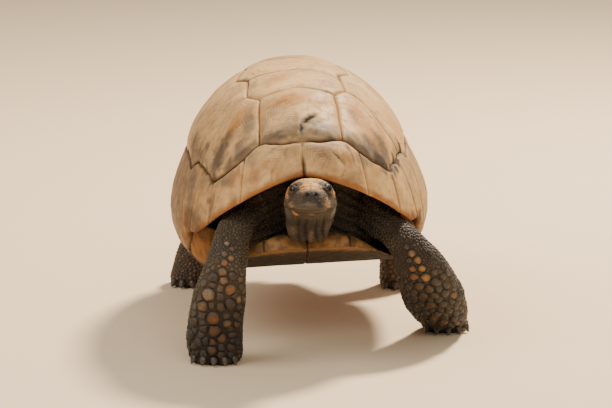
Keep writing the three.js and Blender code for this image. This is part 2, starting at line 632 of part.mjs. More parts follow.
const roof = (share) => trunkRing((angle) => onDome(...plan(angle, share), TRUNK_DEPTH));
const overBelly = (x, y) => bellyInside(x, y).add(new THREE.Vector3(0, 0, 1.7 + 0.3 * bellyPoint(x, y).z));
const wallTop = trunkRing((angle) => onDome(...plan(angle, WALL_SHARE(angle)), TRUNK_DEPTH));
const floorAt = (share) => trunkRing((angle) => overBelly(...plan(angle, WALL_SHARE(angle) * share)));
const wallMiddle = trunkRing((angle) => {
  const top = onDome(...plan(angle, WALL_SHARE(angle)), TRUNK_DEPTH);
  return top.lerp(overBelly(...plan(angle, WALL_SHARE(angle))), 0.5);
});
const trunkLoops = [[new THREE.Vector3(0, 0, DOME_TOP - TRUNK_DEPTH)], roof(0.3), roof(0.52), roof(0.68), wallTop,
  wallMiddle, floorAt(0.97), floorAt(0.82), floorAt(0.6), floorAt(0.3), [overBelly(0, 0)]];
const wholeTrunk = loft(trunkLoops).applyMatrix4(shell.matrix);
const grownLimbs = Object.values(LIMBS).map((stations) => limb(stations, FLESH_GAP));
add(tortoise, 'trunk', cut(wholeTrunk, ...grownLimbs, throughSections(NECK_SECTIONS, FLESH_GAP), tail(FLESH_GAP)), SKIN);

// ---------------------------------------------------------------- legs and claws
Object.entries(LIMBS).forEach(([name, stations], k) => {
  add(tortoise, name, limb(stations), SKIN);
  const foot = stations[stations.length - 3];
  const size = name.startsWith('fore') ? CLAW_SIZE.fore : CLAW_SIZE.hind;
  CLAWS[name].forEach((direction, n) => {
    add(tortoise, `claw_${name}_${n + 1}`, cut(claw(foot, direction, size), grownLimbs[k]), CLAW);
  });
});

// ---------------------------------------------------------------- origin
// The origin is the middle of the underside of the whole animal's box.
const bounds = new THREE.Box3().setFromObject(tortoise, true);
tortoise.position.set(-(bounds.min.x + bounds.max.x) / 2, -(bounds.min.y + bounds.max.y) / 2, -bounds.min.z);

export default tortoise;
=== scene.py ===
import math

import bpy
import numpy as np
from mathutils import Matrix, Vector, noise
from mathutils.bvhtree import BVHTree
from mathutils.kdtree import KDTree


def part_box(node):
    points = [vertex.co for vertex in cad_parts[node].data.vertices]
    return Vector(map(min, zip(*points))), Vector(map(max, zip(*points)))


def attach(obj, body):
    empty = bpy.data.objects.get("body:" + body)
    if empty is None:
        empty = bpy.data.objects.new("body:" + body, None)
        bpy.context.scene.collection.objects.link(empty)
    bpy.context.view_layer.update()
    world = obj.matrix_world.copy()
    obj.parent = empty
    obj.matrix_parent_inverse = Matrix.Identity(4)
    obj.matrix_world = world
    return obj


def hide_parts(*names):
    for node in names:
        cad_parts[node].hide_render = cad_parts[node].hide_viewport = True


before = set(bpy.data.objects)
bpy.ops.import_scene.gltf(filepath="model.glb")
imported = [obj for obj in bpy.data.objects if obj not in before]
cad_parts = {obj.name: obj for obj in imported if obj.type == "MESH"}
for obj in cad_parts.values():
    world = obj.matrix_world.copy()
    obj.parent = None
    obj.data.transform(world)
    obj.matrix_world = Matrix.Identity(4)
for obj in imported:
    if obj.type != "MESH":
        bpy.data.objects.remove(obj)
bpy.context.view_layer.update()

# ---------------------------------------------------------------- room, light and camera
# A plain pale studio floor under soft lamps. A long lens looks a little down at the animal as it
# walks towards it. Lengths below are in millimetres from a point on the floor under the shell's top.
MM = 0.001
EYE_LEFT = Vector((26.6, -256.5, 188.6))
origin = sum(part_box("eye_left"), Vector()) / 2 - EYE_LEFT * MM


def standing(x, y, z):
    return origin + Vector((x, y, z)) * MM


CAMERA_AIM = standing(8, 0, 123)
CAMERA_AWAY = 3.0
CAMERA_ELEVATION = math.radians(11.5)
CAMERA_LENS = 166.6

bpy.ops.object.select_all(action="DESELECT")
bpy.ops.object.camera_add(
    location=CAMERA_AIM + CAMERA_AWAY * Vector((0, -math.cos(CAMERA_ELEVATION),
                                                math.sin(CAMERA_ELEVATION))),
    rotation=(math.pi / 2 - CAMERA_ELEVATION, 0, 0),
)
camera = bpy.context.object
camera.name = "camera"
camera.data.lens = CAMERA_LENS
camera.data.sensor_width = 36
camera.data.clip_end = 50
bpy.context.scene.camera = camera

# A floor that runs far behind the animal and curves up into a backdrop.
bpy.ops.mesh.primitive_plane_add(size=12, location=(0, 2, 0))
floor = bpy.context.object
floor.name = "floor"
paint = bpy.data.materials.new("floor_paint")
paint.use_nodes = True
paint_look = paint.node_tree.nodes["Principled BSDF"]
paint_look.inputs["Base Color"].default_value = (0.84, 0.65, 0.44, 1)
paint_look.inputs["Roughness"].default_value = 0.8
floor.data.materials.append(paint)


def lamp(name, place, aim, size, power, colour):
    bpy.ops.object.light_add(type="AREA", location=place)
    light = bpy.context.object
    light.name = name
    light.rotation_euler = (Vector(aim) - Vector(place)).to_track_quat("-Z", "Y").to_euler()
    light.data.shape = "DISK"
    light.data.size = size
    light.data.energy = power
    light.data.color = colour


lamp("key_lamp", (0.90, 1.15, 2.1), (0, 0, 0.15), 0.4, 152, (1.0, 0.885, 0.70))
lamp("fill_lamp", (-1.6, -1.0, 1.9), (0, 0, 0.12), 1.8, 38, (1.0, 0.97, 0.90))
lamp("front_lamp", (0.5, -2.2, 1.6), (0, 0, 0.12), 1.2, 22, (1.0, 0.93, 0.82))
world = bpy.data.worlds.new("studio")
world.use_nodes = True
world.node_tree.nodes["Background"].inputs["Color"].default_value = (0.88, 0.83, 0.76, 1)
world.node_tree.nodes["Background"].inputs["Strength"].default_value = 0.47
bpy.context.scene.world = world

# ---------------------------------------------------------------- the form of the carapace
# The shell is a high dome of bone under horn, squared at the sides, with a rim that climbs over the
# neck. It leans and turns a little in the stride, so it is laid out in its own frame, in millimetres
# from the belly plane. Angles run from 0 at the front, through 90 at its left side, to 180 behind.
HALF_WIDTH = 135
HALF_LENGTH = 222
SQUARENESS = 2.25
DOME_TOP = 194
RIDGE_HEIGHT = 51
FRONT_RISE = 67
FRONT_CORNER = 51
REAR_DROP = 6
LEAN = math.radians(3.0)
TURN = math.radians(2.5)
shell_place = (Matrix.Translation(standing(2.5, 0, 80)) @ Matrix.Rotation(TURN, 4, "Z")
               @ Matrix.Rotation(-LEAN, 4, "Y") @ Matrix.Scale(MM, 4))


def placed(points, matrix=shell_place):
    turned = np.array(matrix)
    return np.asarray(points, float) @ turned[:3, :3].T + turned[:3, 3]


def smooth(value, low, high):
    share = np.clip((np.asarray(value, float) - low) / (high - low), 0, 1)
    return share * share * (3 - 2 * share)


def mix(low, high, share):
    return low + (high - low) * share


# A smooth line through a few points that doesn't overshoot between them.
def curve(*points):
    x, y = np.array(points, float).T
    slope = np.diff(y) / np.diff(x)
    tangent = np.zeros(len(x))
    same_way = slope[:-1] * slope[1:] > 0
    tangent[1:-1][same_way] = (2 * slope[:-1] * slope[1:])[same_way] / (slope[:-1] + slope[1:])[same_way]
    tangent[-1] = slope[-1]

    def at(value):
        value = np.clip(value, x[0], x[-1])
        k = np.clip(np.searchsorted(x, value, side="right") - 1, 0, len(x) - 2)
        width = x[k + 1] - x[k]
        t = (value - x[k]) / width
        rise = t * t * (3 - 2 * t)
        bend = tangent[k] * t * (1 - t) ** 2 - tangent[k + 1] * t * t * (1 - t)
        return y[k] * (1 - rise) + y[k + 1] * rise + width * bend

    return at


FORWARD = curve((0, 1), (0.4, 0.985), (0.586, 0.934), (0.766, 0.684), (0.932, 0.368), (0.973, 0.184),
                (1, 0))
SIDEWAYS = curve((0, 1), (0.22, 0.985), (0.4, 0.914), (0.564, 0.8), (0.683, 0.686), (0.777, 0.571),
                 (0.844, 0.457), (0.878, 0.343), (0.932, 0.229), (0.976, 0.114), (1, 0))
BACKWARD = curve((0, 1), (0.2, 0.993), (0.405, 0.946), (0.586, 0.846), (0.766, 0.671), (0.878, 0.483),
                 (0.946, 0.302), (0.986, 0.134), (1, 0))


def rim_height(angle):
    a = np.abs(angle)
    front = RIDGE_HEIGHT + FRONT_RISE * (1 - np.clip(a / FRONT_CORNER, 0, 1) ** 1.5)
    return np.where(a < FRONT_CORNER, front, RIDGE_HEIGHT - REAR_DROP * smooth(a, 110, 180))


def rim_reach(angle):
    s = np.abs(np.sin(np.radians(angle)))
    c = np.abs(np.cos(np.radians(angle)))
    return (s ** SQUARENESS + c ** SQUARENESS) ** (-1 / SQUARENESS)


def plan(angle, share):
    reach = rim_reach(angle) * share
    return np.stack([HALF_WIDTH * reach * np.sin(np.radians(angle)),
                     -HALF_LENGTH * reach * np.cos(np.radians(angle))], -1)


def dome_height(x, y):
    angle = np.degrees(np.arctan2(x / HALF_WIDTH, -y / HALF_LENGTH))
    share = np.hypot(x / HALF_WIDTH, y / HALF_LENGTH) / rim_reach(angle)
    lengthways = np.cos(np.radians(angle)) ** 2
    ends = np.where(y < 0, FORWARD(share), BACKWARD(share))
    rise = (1 - lengthways) * SIDEWAYS(share) + lengthways * ends
    return rim_height(angle) + (DOME_TOP - rim_height(angle)) * rise


def on_dome(flat, lift=0.0):
    """The point over a place in plan, raised square to the surface by a lift that may vary."""
    x, y = flat[..., 0], flat[..., 1]
    step = 1.5
    normal = np.stack([(dome_height(x - step, y) - dome_height(x + step, y)) / (2 * step),
                       (dome_height(x, y - step) - dome_height(x, y + step)) / (2 * step),
                       np.ones_like(x)], -1)
    normal /= np.linalg.norm(normal, axis=-1, keepdims=True)
    return np.stack([x, y, dome_height(x, y)], -1) + normal * np.asarray(lift)[..., None]


def values_of(items, label, width=3, kind=float):
    """One value of every point, edge or face of a mesh, in one array."""
    flat = np.empty(len(items) * width, kind)
    items.foreach_get(label, flat)
    return flat.reshape(-1, width)


# A flat grid is added and its rows of points are carried to their places: each row is a closed ring
# round the piece, and the first and last rows draw together to a point.
def ringed(name, rings, **attributes):
    rows, columns = rings.shape[0] - 1, rings.shape[1]
    bpy.ops.object.select_all(action="DESELECT")
    bpy.ops.mesh.primitive_grid_add(x_subdivisions=columns, y_subdivisions=rows, size=1)
    piece = bpy.context.object
    piece.name = name
    piece.data.name = name
    flat = values_of(piece.data.vertices, "co")
    column = np.rint((flat[:, 0] + 0.5) * columns).astype(int) % columns
    row = np.rint((flat[:, 1] + 0.5) * rows).astype(int)
    piece.data.vertices.foreach_set("co", rings[row, column].ravel())
    for label, values in attributes.items():
        store(piece, label, np.broadcast_to(values, rings.shape[:2] + values.shape[2:])[row, column])
    bpy.ops.object.mode_set(mode="EDIT")
    bpy.ops.mesh.select_all(action="SELECT")
    bpy.ops.mesh.remove_doubles(threshold=1e-6)
    bpy.ops.mesh.normals_make_consistent(inside=False)
    bpy.ops.object.mode_set(mode="OBJECT")
    bpy.ops.object.shade_smooth_by_angle(angle=math.radians(40))
    while piece.data.uv_layers:
        piece.data.uv_layers.remove(piece.data.uv_layers[0])
    return piece


# Keeps a number or a colour for each point of a piece, for its material to read.
def store(piece, label, values):
    kind = "FLOAT" if values.ndim == 1 else "FLOAT_COLOR"
    layer = piece.data.attributes.new(label, kind, "POINT")
    if kind == "FLOAT":
        layer.data.foreach_set("value", values.astype(np.float32))
    else:
        opaque = np.concatenate([values, np.ones((len(values), 1))], 1)
        layer.data.foreach_set("color", opaque.astype(np.float32).ravel())


# Soft irregular waves at a place, about -1 to 1.
def waves(points, size, detail=3, seed=0):
    shape = points.shape[:-1]
    return np.array([noise.fractal(Vector(p) / size + Vector((seed * 7.3, seed * 3.1, seed)), 0.9, 2.0,
                                   detail)
                     for p in points.reshape(-1, points.shape[-1])]).reshape(shape)


# ---------------------------------------------------------------- horn of the shell
# The plates are thin horn over bone, worn smooth and pale by years of weather: tan, with clouds of
# brown and blue-grey that follow the growth, thin dark seams, scratches, and orange at the edges.
def group(name, **sockets):
    tree = bpy.data.node_groups.new(name, "ShaderNodeTree")
    for label, (way, kind, value) in sockets.items():
        socket = tree.interface.new_socket(label, in_out=way, socket_type=kind)
        if way == "INPUT":
            socket.default_value = value
    return tree, tree.nodes.new("NodeGroupInput"), tree.nodes.new("NodeGroupOutput")


def link(tree, source, target):
    tree.links.new(source, target)


def node(tree, kind, settings=None, **inputs):
    made = tree.nodes.new(kind)
    for label, value in (settings or {}).items():
        setattr(made, label, value)
    for label, value in inputs.items():
        socket = made.inputs[int(label[1:])] if label[1:].isdigit() else made.inputs[label.replace("_",
                " ")]
        if isinstance(value, bpy.types.NodeSocket):
            tree.links.new(value, socket)
        else:
            socket.default_value = value
    return made


# Clouds of one value over another: low and high bound how much of the noise shows.
def cloud(tree, place, scale, low, high, detail=4.0, distortion=0.0):
    spots = node(tree, "ShaderNodeTexNoise", Vector=place, Scale=scale, Detail=detail,
                 Distortion=distortion)
    return node(tree, "ShaderNodeMapRange", {"clamp": True, "interpolation_type": "SMOOTHSTEP"},
                _0=spots.outputs["Fac"], _1=low, _2=high).outputs["Result"]


def blend(tree, share, below, above):
    made = node(tree, "ShaderNodeMix", {"data_type": "RGBA", "clamp_factor": True})
    for label, value in (("Factor", share), ("A", below), ("B", above)):
        socket = next(s for s in made.inputs if s.name == label
                      and s.type == ("VALUE" if label == "Factor" else "RGBA"))
        if isinstance(value, bpy.types.NodeSocket):
            tree.links.new(value, socket)
        else:
            socket.default_value = value
    return next(s for s in made.outputs if s.type == "RGBA")


def math_node(tree, way, a, b=0.5, c=0.0, clamp=False):
    return node(tree, "ShaderNodeMath", {"operation": way, "use_clamp": clamp}, _0=a, _1=b, _2=c).outputs[0]


def read(tree, label):
    return node(tree, "ShaderNodeAttribute", {"attribute_name": label})


def ramp(tree, value, low, high, start=0.0, end=1.0):
    """A value taken from low..high to start..end, and held at both ends."""
    return node(tree, "ShaderNodeMapRange", {"clamp": True}, _0=value, _1=low, _2=high, _3=start,
                _4=end).outputs["Result"]


def times(tree, a, b):
    return math_node(tree, "MULTIPLY", a, b, 0.0)


def plus(tree, a, b):
    return math_node(tree, "ADD", a, b, 0.0)


# Lays a tint over a colour where a mask says, as strongly as it says.
def tinted(tree, colour, where, strength, tint):
    return blend(tree, times(tree, where, strength), colour, tint)


def dimmed(tint, share):
    return tuple(share * c for c in tint[:3]) + (1,)


def bumped(tree, look, height, strength, distance):
    bump = node(tree, "ShaderNodeBump", Strength=strength, Distance=distance, Height=height)
    link(tree, bump.outputs["Normal"], look.inputs["Normal"])


def finish(name):
    """A new material, its nodes, its shader and the place on the piece that patterns are laid by."""
    material = bpy.data.materials.new(name)
    material.use_nodes = True
    tree = material.node_tree
    return material, tree, tree.nodes["Principled BSDF"], node(tree, "ShaderNodeTexCoord").outputs["Object"]


# Fine scratches: long thin streaks where a stretched noise crosses its middle value.
scratches, scratch_in, scratch_out = group(
    "scratches", Vector=("INPUT", "NodeSocketVector", (0, 0, 0)), Scale=("INPUT", "NodeSocketFloat", 60.0),
    Turn=("INPUT", "NodeSocketFloat", 0.6), Mask=("OUTPUT", "NodeSocketFloat", 0))
spun = node(scratches, "ShaderNodeVectorRotate", {"rotation_type": "Z_AXIS"},
            Vector=scratch_in.outputs["Vector"], Angle=scratch_in.outputs["Turn"])
long = node(scratches, "ShaderNodeMapping", {"vector_type": "POINT"}, Vector=spun.outputs[0],
            Scale=(1, 0.08, 0.4))
streak = node(scratches, "ShaderNodeTexNoise", Vector=long.outputs[0], Scale=scratch_in.outputs["Scale"],
              Detail=3.0, Roughness=0.6, Distortion=0.4)
off_middle = math_node(scratches, "ABSOLUTE", math_node(scratches, "SUBTRACT", streak.outputs["Fac"], 0.5))
thin = ramp(scratches, off_middle, 0.0, 0.012, 1.0, 0.0)
patchy = cloud(scratches, scratch_in.outputs["Vector"], 14.0, 0.5, 0.62)
link(scratches, times(scratches, thin, patchy), scratch_out.inputs["Mask"])

# Pores and fine grain of old horn, as a height.
grain, grain_in, grain_out = group(
    "horn_grain", Vector=("INPUT", "NodeSocketVector", (0, 0, 0)),
    Scale=("INPUT", "NodeSocketFloat", 900.0),
    Height=("OUTPUT", "NodeSocketFloat", 0))
coarse = node(grain, "ShaderNodeTexNoise", Vector=grain_in.outputs["Vector"],
              Scale=grain_in.outputs["Scale"],
              Detail=6.0, Roughness=0.7)
pits = node(grain, "ShaderNodeTexVoronoi", {"feature": "F1"}, Vector=grain_in.outputs["Vector"],
            Scale=times(grain, grain_in.outputs["Scale"], 0.6), Randomness=1.0)
pit = ramp(grain, pits.outputs["Distance"], 0.0, 0.22)
link(grain, plus(grain, coarse.outputs["Fac"], times(grain, pit, 0.5)),
     grain_out.inputs["Height"])


def horn(name, pale, brown, grey, edge, roughness=0.42, seam=(0.055, 0.033, 0.02, 1),
         rust=(0.28, 0.125, 0.04, 1), new_horn=(0.64, 0.39, 0.165, 1), growth=0.4):
    """Weathered horn. The piece keeps ring (mm from its edge), seam, warm, cool, dark and wear."""
    material, tree, look, place = finish(name)
    ring = read(tree, "ring").outputs["Fac"]
    marks = {label: read(tree, label).outputs["Fac"] for label in ("warm", "cool", "dark", "wear")}
    fine = cloud(tree, place, 150.0, 0.4, 0.72, 6.0, 0.5)
    colour = blend(tree, cloud(tree, place, 30.0, 0.38, 0.66, 5.0, 0.6), pale, dimmed(pale, 0.82))
    colour = tinted(tree, colour, cloud(tree, place, 13.0, 0.5, 0.72, 5.0, 0.8), 0.45, (0.40, 0.23, 0.09, 1))
    colour = tinted(tree, colour, cloud(tree, place, 19.0, 0.52, 0.72, 6.0, 0.8), 0.5, grey)
    colour = tinted(tree, colour, marks["warm"], mixed_cloud(tree, place, 46.0, 0.65), brown)
    colour = tinted(tree, colour, marks["cool"], mixed_cloud(tree, place, 62.0, 0.6), grey)
    swirl = node(tree, "ShaderNodeTexNoise", Vector=place, Scale=45.0, Detail=3.0).outputs["Fac"]
    lines = math_node(tree, "MULTIPLY_ADD", swirl, 9.0, times(tree, ring, 2.1))
    lines = math_node(tree, "SINE", lines)
    lines = ramp(tree, lines, 0.55, 1.0)
    lines = times(tree, lines, cloud(tree, place, 38.0, 0.46, 0.7))
    colour = tinted(tree, colour, lines, growth, dimmed(grey, 0.5))
    colour = tinted(tree, colour, fine, 0.38, dimmed(brown, 0.55))
    scratch = node(tree, "ShaderNodeGroup", {"node_tree": scratches}, Vector=place, Scale=60.0, Turn=0.7)
    colour = tinted(tree, colour, scratch.outputs["Mask"], 0.6, (0.13, 0.09, 0.06, 1))
    broad = node(tree, "ShaderNodeGroup", {"node_tree": scratches}, Vector=place, Scale=24.0,
                 Turn=-0.5).outputs["Mask"]
    colour = tinted(tree, colour, broad, 0.5, (0.17, 0.11, 0.065, 1))
    colour = blend(tree, marks["wear"], colour, edge)
    # New horn grows along each seam: a paler border with a fine rusty line, and the dark groove itself.
    wander = cloud(tree, place, 30.0, 0.25, 0.75)
    border = ramp(tree, ring, 2.0, 6.5, 0.4, 0.0)
    colour = tinted(tree, colour, border, wander, new_horn)
    from_line = math_node(tree, "SUBTRACT", ring, ramp(tree, wander, 0.0, 1.0, 4.0, 8.5))
    line = ramp(tree, math_node(tree, "ABSOLUTE", from_line), 0.1, 0.7, 1.0, 0.0)
    line = times(tree, line, cloud(tree, place, 22.0, 0.46, 0.6))
    colour = tinted(tree, colour, line, 0.5, rust)
    patchy = ramp(tree, cloud(tree, place, 24.0, 0.36, 0.62), 0.0, 1.0, 0.55, 1.0)
    rusty = ramp(tree, ring, 0.5, 2.3, 0.85, 0.0)
    rusty = times(tree, rusty, math_node(tree, "MULTIPLY_ADD", read(tree, "seam").outputs["Fac"], 0.75, 0.2,
                                         True))
    colour = tinted(tree, colour, rusty, patchy, rust)
    near = ramp(tree, ring, 0.25, 1.5, 1.0, 0.0)
    near = times(tree, near, read(tree, "seam").outputs["Fac"])
    colour = tinted(tree, colour, near, patchy, seam)
    colour = blend(tree, marks["dark"], colour, (0.018, 0.012, 0.009, 1))
    link(tree, colour, look.inputs["Base Color"])
    pores = node(tree, "ShaderNodeGroup", {"node_tree": grain}, Vector=place, Scale=700.0)
    height = plus(tree, times(tree, pores.outputs["Height"], 0.55),
                  times(tree, scratch.outputs["Mask"], -0.6))
    height = plus(tree, height, times(tree, lines, -0.5))
    bumped(tree, look, height, 0.35, 0.0004)
    rough = ramp(tree, fine, 0.0, 1.0, roughness, roughness + 0.2)
    rough = plus(tree, rough, times(tree, marks["dark"], 0.3))
    link(tree, rough, look.inputs["Roughness"])
    look.inputs["Specular IOR Level"].default_value = 0.28
    return material


def mixed_cloud(tree, place, scale, least):
    spots = cloud(tree, place, scale, 0.36, 0.62, 5.0, 0.5)
    return ramp(tree, spots, 0.0, 1.0, least, 1.0)


shell_horn = horn("shell_horn", (0.68, 0.42, 0.18, 1), (0.48, 0.19, 0.042, 1), (0.14, 0.108, 0.075, 1),
                  (0.40, 0.19, 0.06, 1), 0.52, growth=0.6)

# ---------------------------------------------------------------- vertebral and costal plates
# Five plates down the middle and four on each side, each grown outwards from a small centre, so that
# faint rings run parallel to its seams. Every plate swells a little and sinks at its edge.
ACROSS = [[(0, -206), (21, -201), (42, -189)], [(0, -126), (18, -131), (38, -132)],
          [(0, -42), (24, -44), (47, -42)],
          [(0, 44), (24, 45), (46, 43)], [(0, 124), (18, 123), (34, 120)]]
CORNERS = [(51, -108), (60, 2), (56, 86)]
COSTAL_ENDS = [20, 56.5, 84, 118.4, 150]
MARGINAL_TOP = curve((-10, 0.912), (0, 0.926), (10, 0.912), (20, 0.888), (27, 0.917), (34, 0.935),
                     (42.5, 0.938),
                     (49, 0.89), (53.5, 0.873), (60, 0.862), (66.5, 0.876), (72, 0.862), (84, 0.854),
                     (100, 0.862),
                     (118, 0.872), (134, 0.876), (150, 0.884), (164, 0.9), (180, 0.91), (190, 0.905))
PLATE_DEPTH = 5.4
SEAM_DEPTH = 1.5
SEAM_GAP = 0.14
RING_SPACING = 3.0


def rim_end(angle):
    return tuple(plan(angle, MARGINAL_TOP(angle)))


COSTAL_SEAMS = [[(51, -108), (62, -104), (73, -100), (84, -103), rim_end(56.5)],
                [(60, 2), (88, -8), rim_end(84)],
                [(56, 86), (84, 96), rim_end(118.4)]]
FIRST_SIDE = [(42, -189), (41, -171), (40.5, -153), (38, -132)]
LAST_SIDE = [(34, 120), (50, 152), rim_end(150)]


def rim_line(start, end):
    return [rim_end(angle) for angle in np.linspace(start, end, max(4, round(abs(end - start) / 3)))]


def mirrored(line):
    return [(-x, y) for x, y in line]


def vertebral_side(k):
    if k == 0:
        return FIRST_SIDE
    if k == 4:
        return LAST_SIDE
    return [ACROSS[k][2], CORNERS[k - 1], ACROSS[k + 1][2]]


def vertebral_loop(k):
    rear = ACROSS[k + 1][::-1] if k < 4 else rim_line(150, 180)
    half = ACROSS[k][:-1] + vertebral_side(k)[:-1] + rear
    return half + mirrored(half[1:-1])[::-1]


def costal_loop(k):
    inner = [[CORNERS[0], ACROSS[1][2]] + FIRST_SIDE[::-1][1:], [CORNERS[1], ACROSS[2][2], CORNERS[0]],
             [CORNERS[2], ACROSS[3][2], CORNERS[1]], LAST_SIDE[::-1] + [CORNERS[2]]][k]
    front = COSTAL_SEAMS[k - 1] if k > 0 else FIRST_SIDE[:1]
    rear = COSTAL_SEAMS[k][::-1] if k < 3 else []
    return front[:-1] + rim_line(COSTAL_ENDS[k],
                                 COSTAL_ENDS[k + 1])[:-1 if k == 3 else None] + rear[1:-1] + inner[:-1]


def finely(loop, step):
    """Points about one step apart along a closed loop, with every corner kept."""
    points = []
    for (x0, y0), (x1, y1) in zip(loop, loop[1:] + loop[:1]):
        count = max(1, round(math.hypot(x1 - x0, y1 - y0) / step))
        points += [(mix(x0, x1, k / count), mix(y0, y1, k / count)) for k in range(count)]
    return np.array(points)


# Waves over the plan, read at one level.
def plan_waves(flat, size, detail=3, seed=0):
    return waves(np.concatenate([flat, np.zeros(flat.shape[:-1] + (1,))], -1), size, detail, seed)


# Seams wander a little, and both of their plates with them.
def wandering(flat):
    return flat + 0.8 * np.stack([plan_waves(flat, 22.0, 3, 1), plan_waves(flat, 22.0, 3, 2)], -1)


# Old damage on the shell: [x, y, half length, half width, direction in degrees, depth, darkness]
SCARS = [(9.5, -177.5, 9.5, 2.6, 45, 1.9, 1.3), (1, -191, 10, 1.5, 79, 1.2, 1.1),
         (-15.5, -153, 5, 1.3, 16, 0.5, 0.45),
         (-31, -152, 3, 1, 20, 0.4, 0.4), (8, -166, 2.5, 1, 45, 0.4, 0.45), (15, -160, 2, 1, 40, 0.3, 0.4),
         (-22, -189, 14, 1.0, -12, 0.3, 0.32), (-22, -196, 16, 1.1, -8, 0.5, 0.45),
         (20, -196, 14, 1.0, 6, 0.3, 0.4),
         (-6, -203, 28, 1.3, 0, 0.3, 0.5), (0.5, -220, 5, 1.9, 90, 0.8, 0.85),
         (-15.5, -210.5, 2.5, 1.0, 60, 0.5, 0.5),
         (-30, -215, 2.5, 0.9, 70, 0.3, 0.4), (35, -207.5, 6, 1.3, -6, 0.7, 0.6),
         (47, -197, 6, 1.2, -56, 0.7, 0.65),
         (92, -165, 3.5, 1.8, -40, 0.5, 0.85), (-92, -169, 5.5, 2.4, 139, 0.4, 0.6),
         (-3, -160, 9, 0.7, 20, 0.3, 0.25),
         (28, -172, 6, 0.7, 70, 0.3, 0.3), (30, -120, 9, 0.7, 10, 0.3, 0.3),
         (60, -60, 12, 0.8, 50, 0.3, 0.35),
         (-70, -20, 14, 0.8, 100, 0.3, 0.3), (20, 90, 16, 0.9, 30, 0.4, 0.4),
         (-50, 130, 10, 1.0, 70, 0.4, 0.4),
         (57, -184, 15, 1.6, 18, 0.5, 0.6), (78, -170, 12, 2.0, 47, 0.5, 0.6)]


def scarred(flat):
    depth = np.zeros(flat.shape[:-1])
    dark = np.zeros(flat.shape[:-1])
    for x, y, half_length, half_width, direction, deep, shade in SCARS:
        turn = math.radians(direction)
        dx, dy = flat[..., 0] - x, flat[..., 1] - y
        wander = 1.6 * plan_waves(flat, 6.0, 2, 5)
        lengthways = (dx * math.cos(turn) + dy * math.sin(turn)) / half_length
        sideways = (dy * math.cos(turn) - dx * math.sin(turn) + wander) / half_width
        inside = np.exp(-(lengthways ** 4) - sideways ** 2)
        depth += deep * inside
        dark = np.maximum(dark, shade * inside)
    return depth, dark


# Clouds of colour on the plates: [x, y, radius across, radius along, strength, turn in degrees]
WARM = [(1, -152, 25, 8, 0.8, 0), (-62, -137, 13, 12, 0.85, 0), (-80, -132, 7, 9, 0.4, 0),
        (60, -144, 13, 15, 1, 0), (72, -150, 13, 12, 0.9, 0), (84, -128, 10, 14, 0.7, 0),
        (-39, -160, 4, 34, 0.5, 0),
        (39, -160, 4, 30, 0.5, 0), (-20, -88, 14, 22, 0.5, 0), (48, -138, 6, 8, 0.5, 0),
        (-98, -60, 22, 30, 0.2, 0),
        (92, 40, 24, 30, 0.45, 0), (-60, 120, 26, 30, 0.5, 0), (30, 20, 30, 30, 0.3, 0),
        (100, -70, 12, 26, 0.4, 0),
        (0, 150, 30, 22, 0.5, 0), (66, 120, 20, 26, 0.5, 0), (-90, 40, 20, 26, 0.5, 0)]
COOL = [(-27, -192, 22, 10, 0.95, 0), (25, -191, 24, 11, 0.9, 0), (0, -186, 40, 12, 0.85, 0),
        (-35, -176, 7, 16, 0.5, 0), (-22, -162, 12, 9, 0.35, 0),
        (22, -133, 18, 8, 0.25, 0), (-50, -157, 7, 13, 0.75, 0), (-59, -170, 10, 8, 0.85, 0),
        (-48, -135, 5, 8, 0.5, 0),
        (-84, -148, 17, 16, 1, 0), (-108, -70, 9, 34, 0.95, 0), (-95, -140, 9, 18, 0.95, 0),
        (-66, -179, 20, 8, 0.95, -28), (53, -148, 5, 9, 0.5, 0), (85, -148, 12, 12, 1, 0),
        (58, -179, 18, 8, 0.85, 18), (74, -170, 24, 10, 1, 38), (102, -118, 9, 24, 0.8, 0),
        (-105, -108, 11, 26, 1, 0),
        (-118, -60, 10, 40, 0.6, 0), (118, -60, 10, 40, 0.4, 0), (60, 90, 30, 14, 0.5, 0),
        (-42, -80, 5, 24, 0.5, 0),
        (0, 60, 34, 12, 0.4, 0), (-108, 70, 12, 40, 0.55, 0), (104, 100, 14, 30, 0.55, 0),
        (-60, -60, 10, 20, 0.4, 0),
        (-40, 170, 26, 14, 0.5, 0), (40, -60, 20, 12, 0.2, 0)]
DARK = [(-77, -150, 19, 12, 0.42, 20), (-85, -146, 15, 15, 0.34, 0), (-108, -80, 8, 28, 0.25, 0),
        (58, -183, 20, 5.5, 0.75, 18), (80, -168, 17, 6.5, 0.8, 48), (-64, -180, 18, 5, 0.4, -25),
        (-97, -126, 4, 6, 0.6, 0), (-89, -157, 4, 7, 0.65, 0), (-93, -105, 3, 7, 0.6, 0),
        (91, -153, 4.5, 5, 0.85, 0), (96, -131, 5, 4.5, 0.9, 0), (105, -94, 5.5, 4, 0.95, 0),
        (-104, -110, 9, 20, 0.3, 0),
        (-20, -194, 24, 8, 0.45, 0), (4, -200, 22, 6, 0.55, 0), (24, -197, 22, 7, 0.55, 0),
        (-110, -88, 3, 14, 0.5, 20),
        (76, -164, 15, 8, 0.3, 40), (-8, -176, 10, 8, 0.14, 0), (84, -146, 10, 9, 0.3, 0)]


def clouds_at(flat, spots):
    """How strongly a list of soft spots covers each place, broken up by waves."""
    total = np.zeros(flat.shape[:-1])
    places = on_dome(flat)
    ragged = waves(places, 26.0, 4, 3) + 0.45 * waves(places, 6.0, 3, 9)
    for x, y, across, along, strength, turn in spots:
        dx, dy = flat[..., 0] - x, flat[..., 1] - y
        c, d = math.cos(math.radians(turn)), math.sin(math.radians(turn))
        off = np.sqrt(((dx * c + dy * d) / across) ** 2 + ((dy * c - dx * d) / along) ** 2)
        total = np.maximum(total, strength * (1 - smooth(off + 0.4 * ragged, 0.5, 1.35)))
    return total


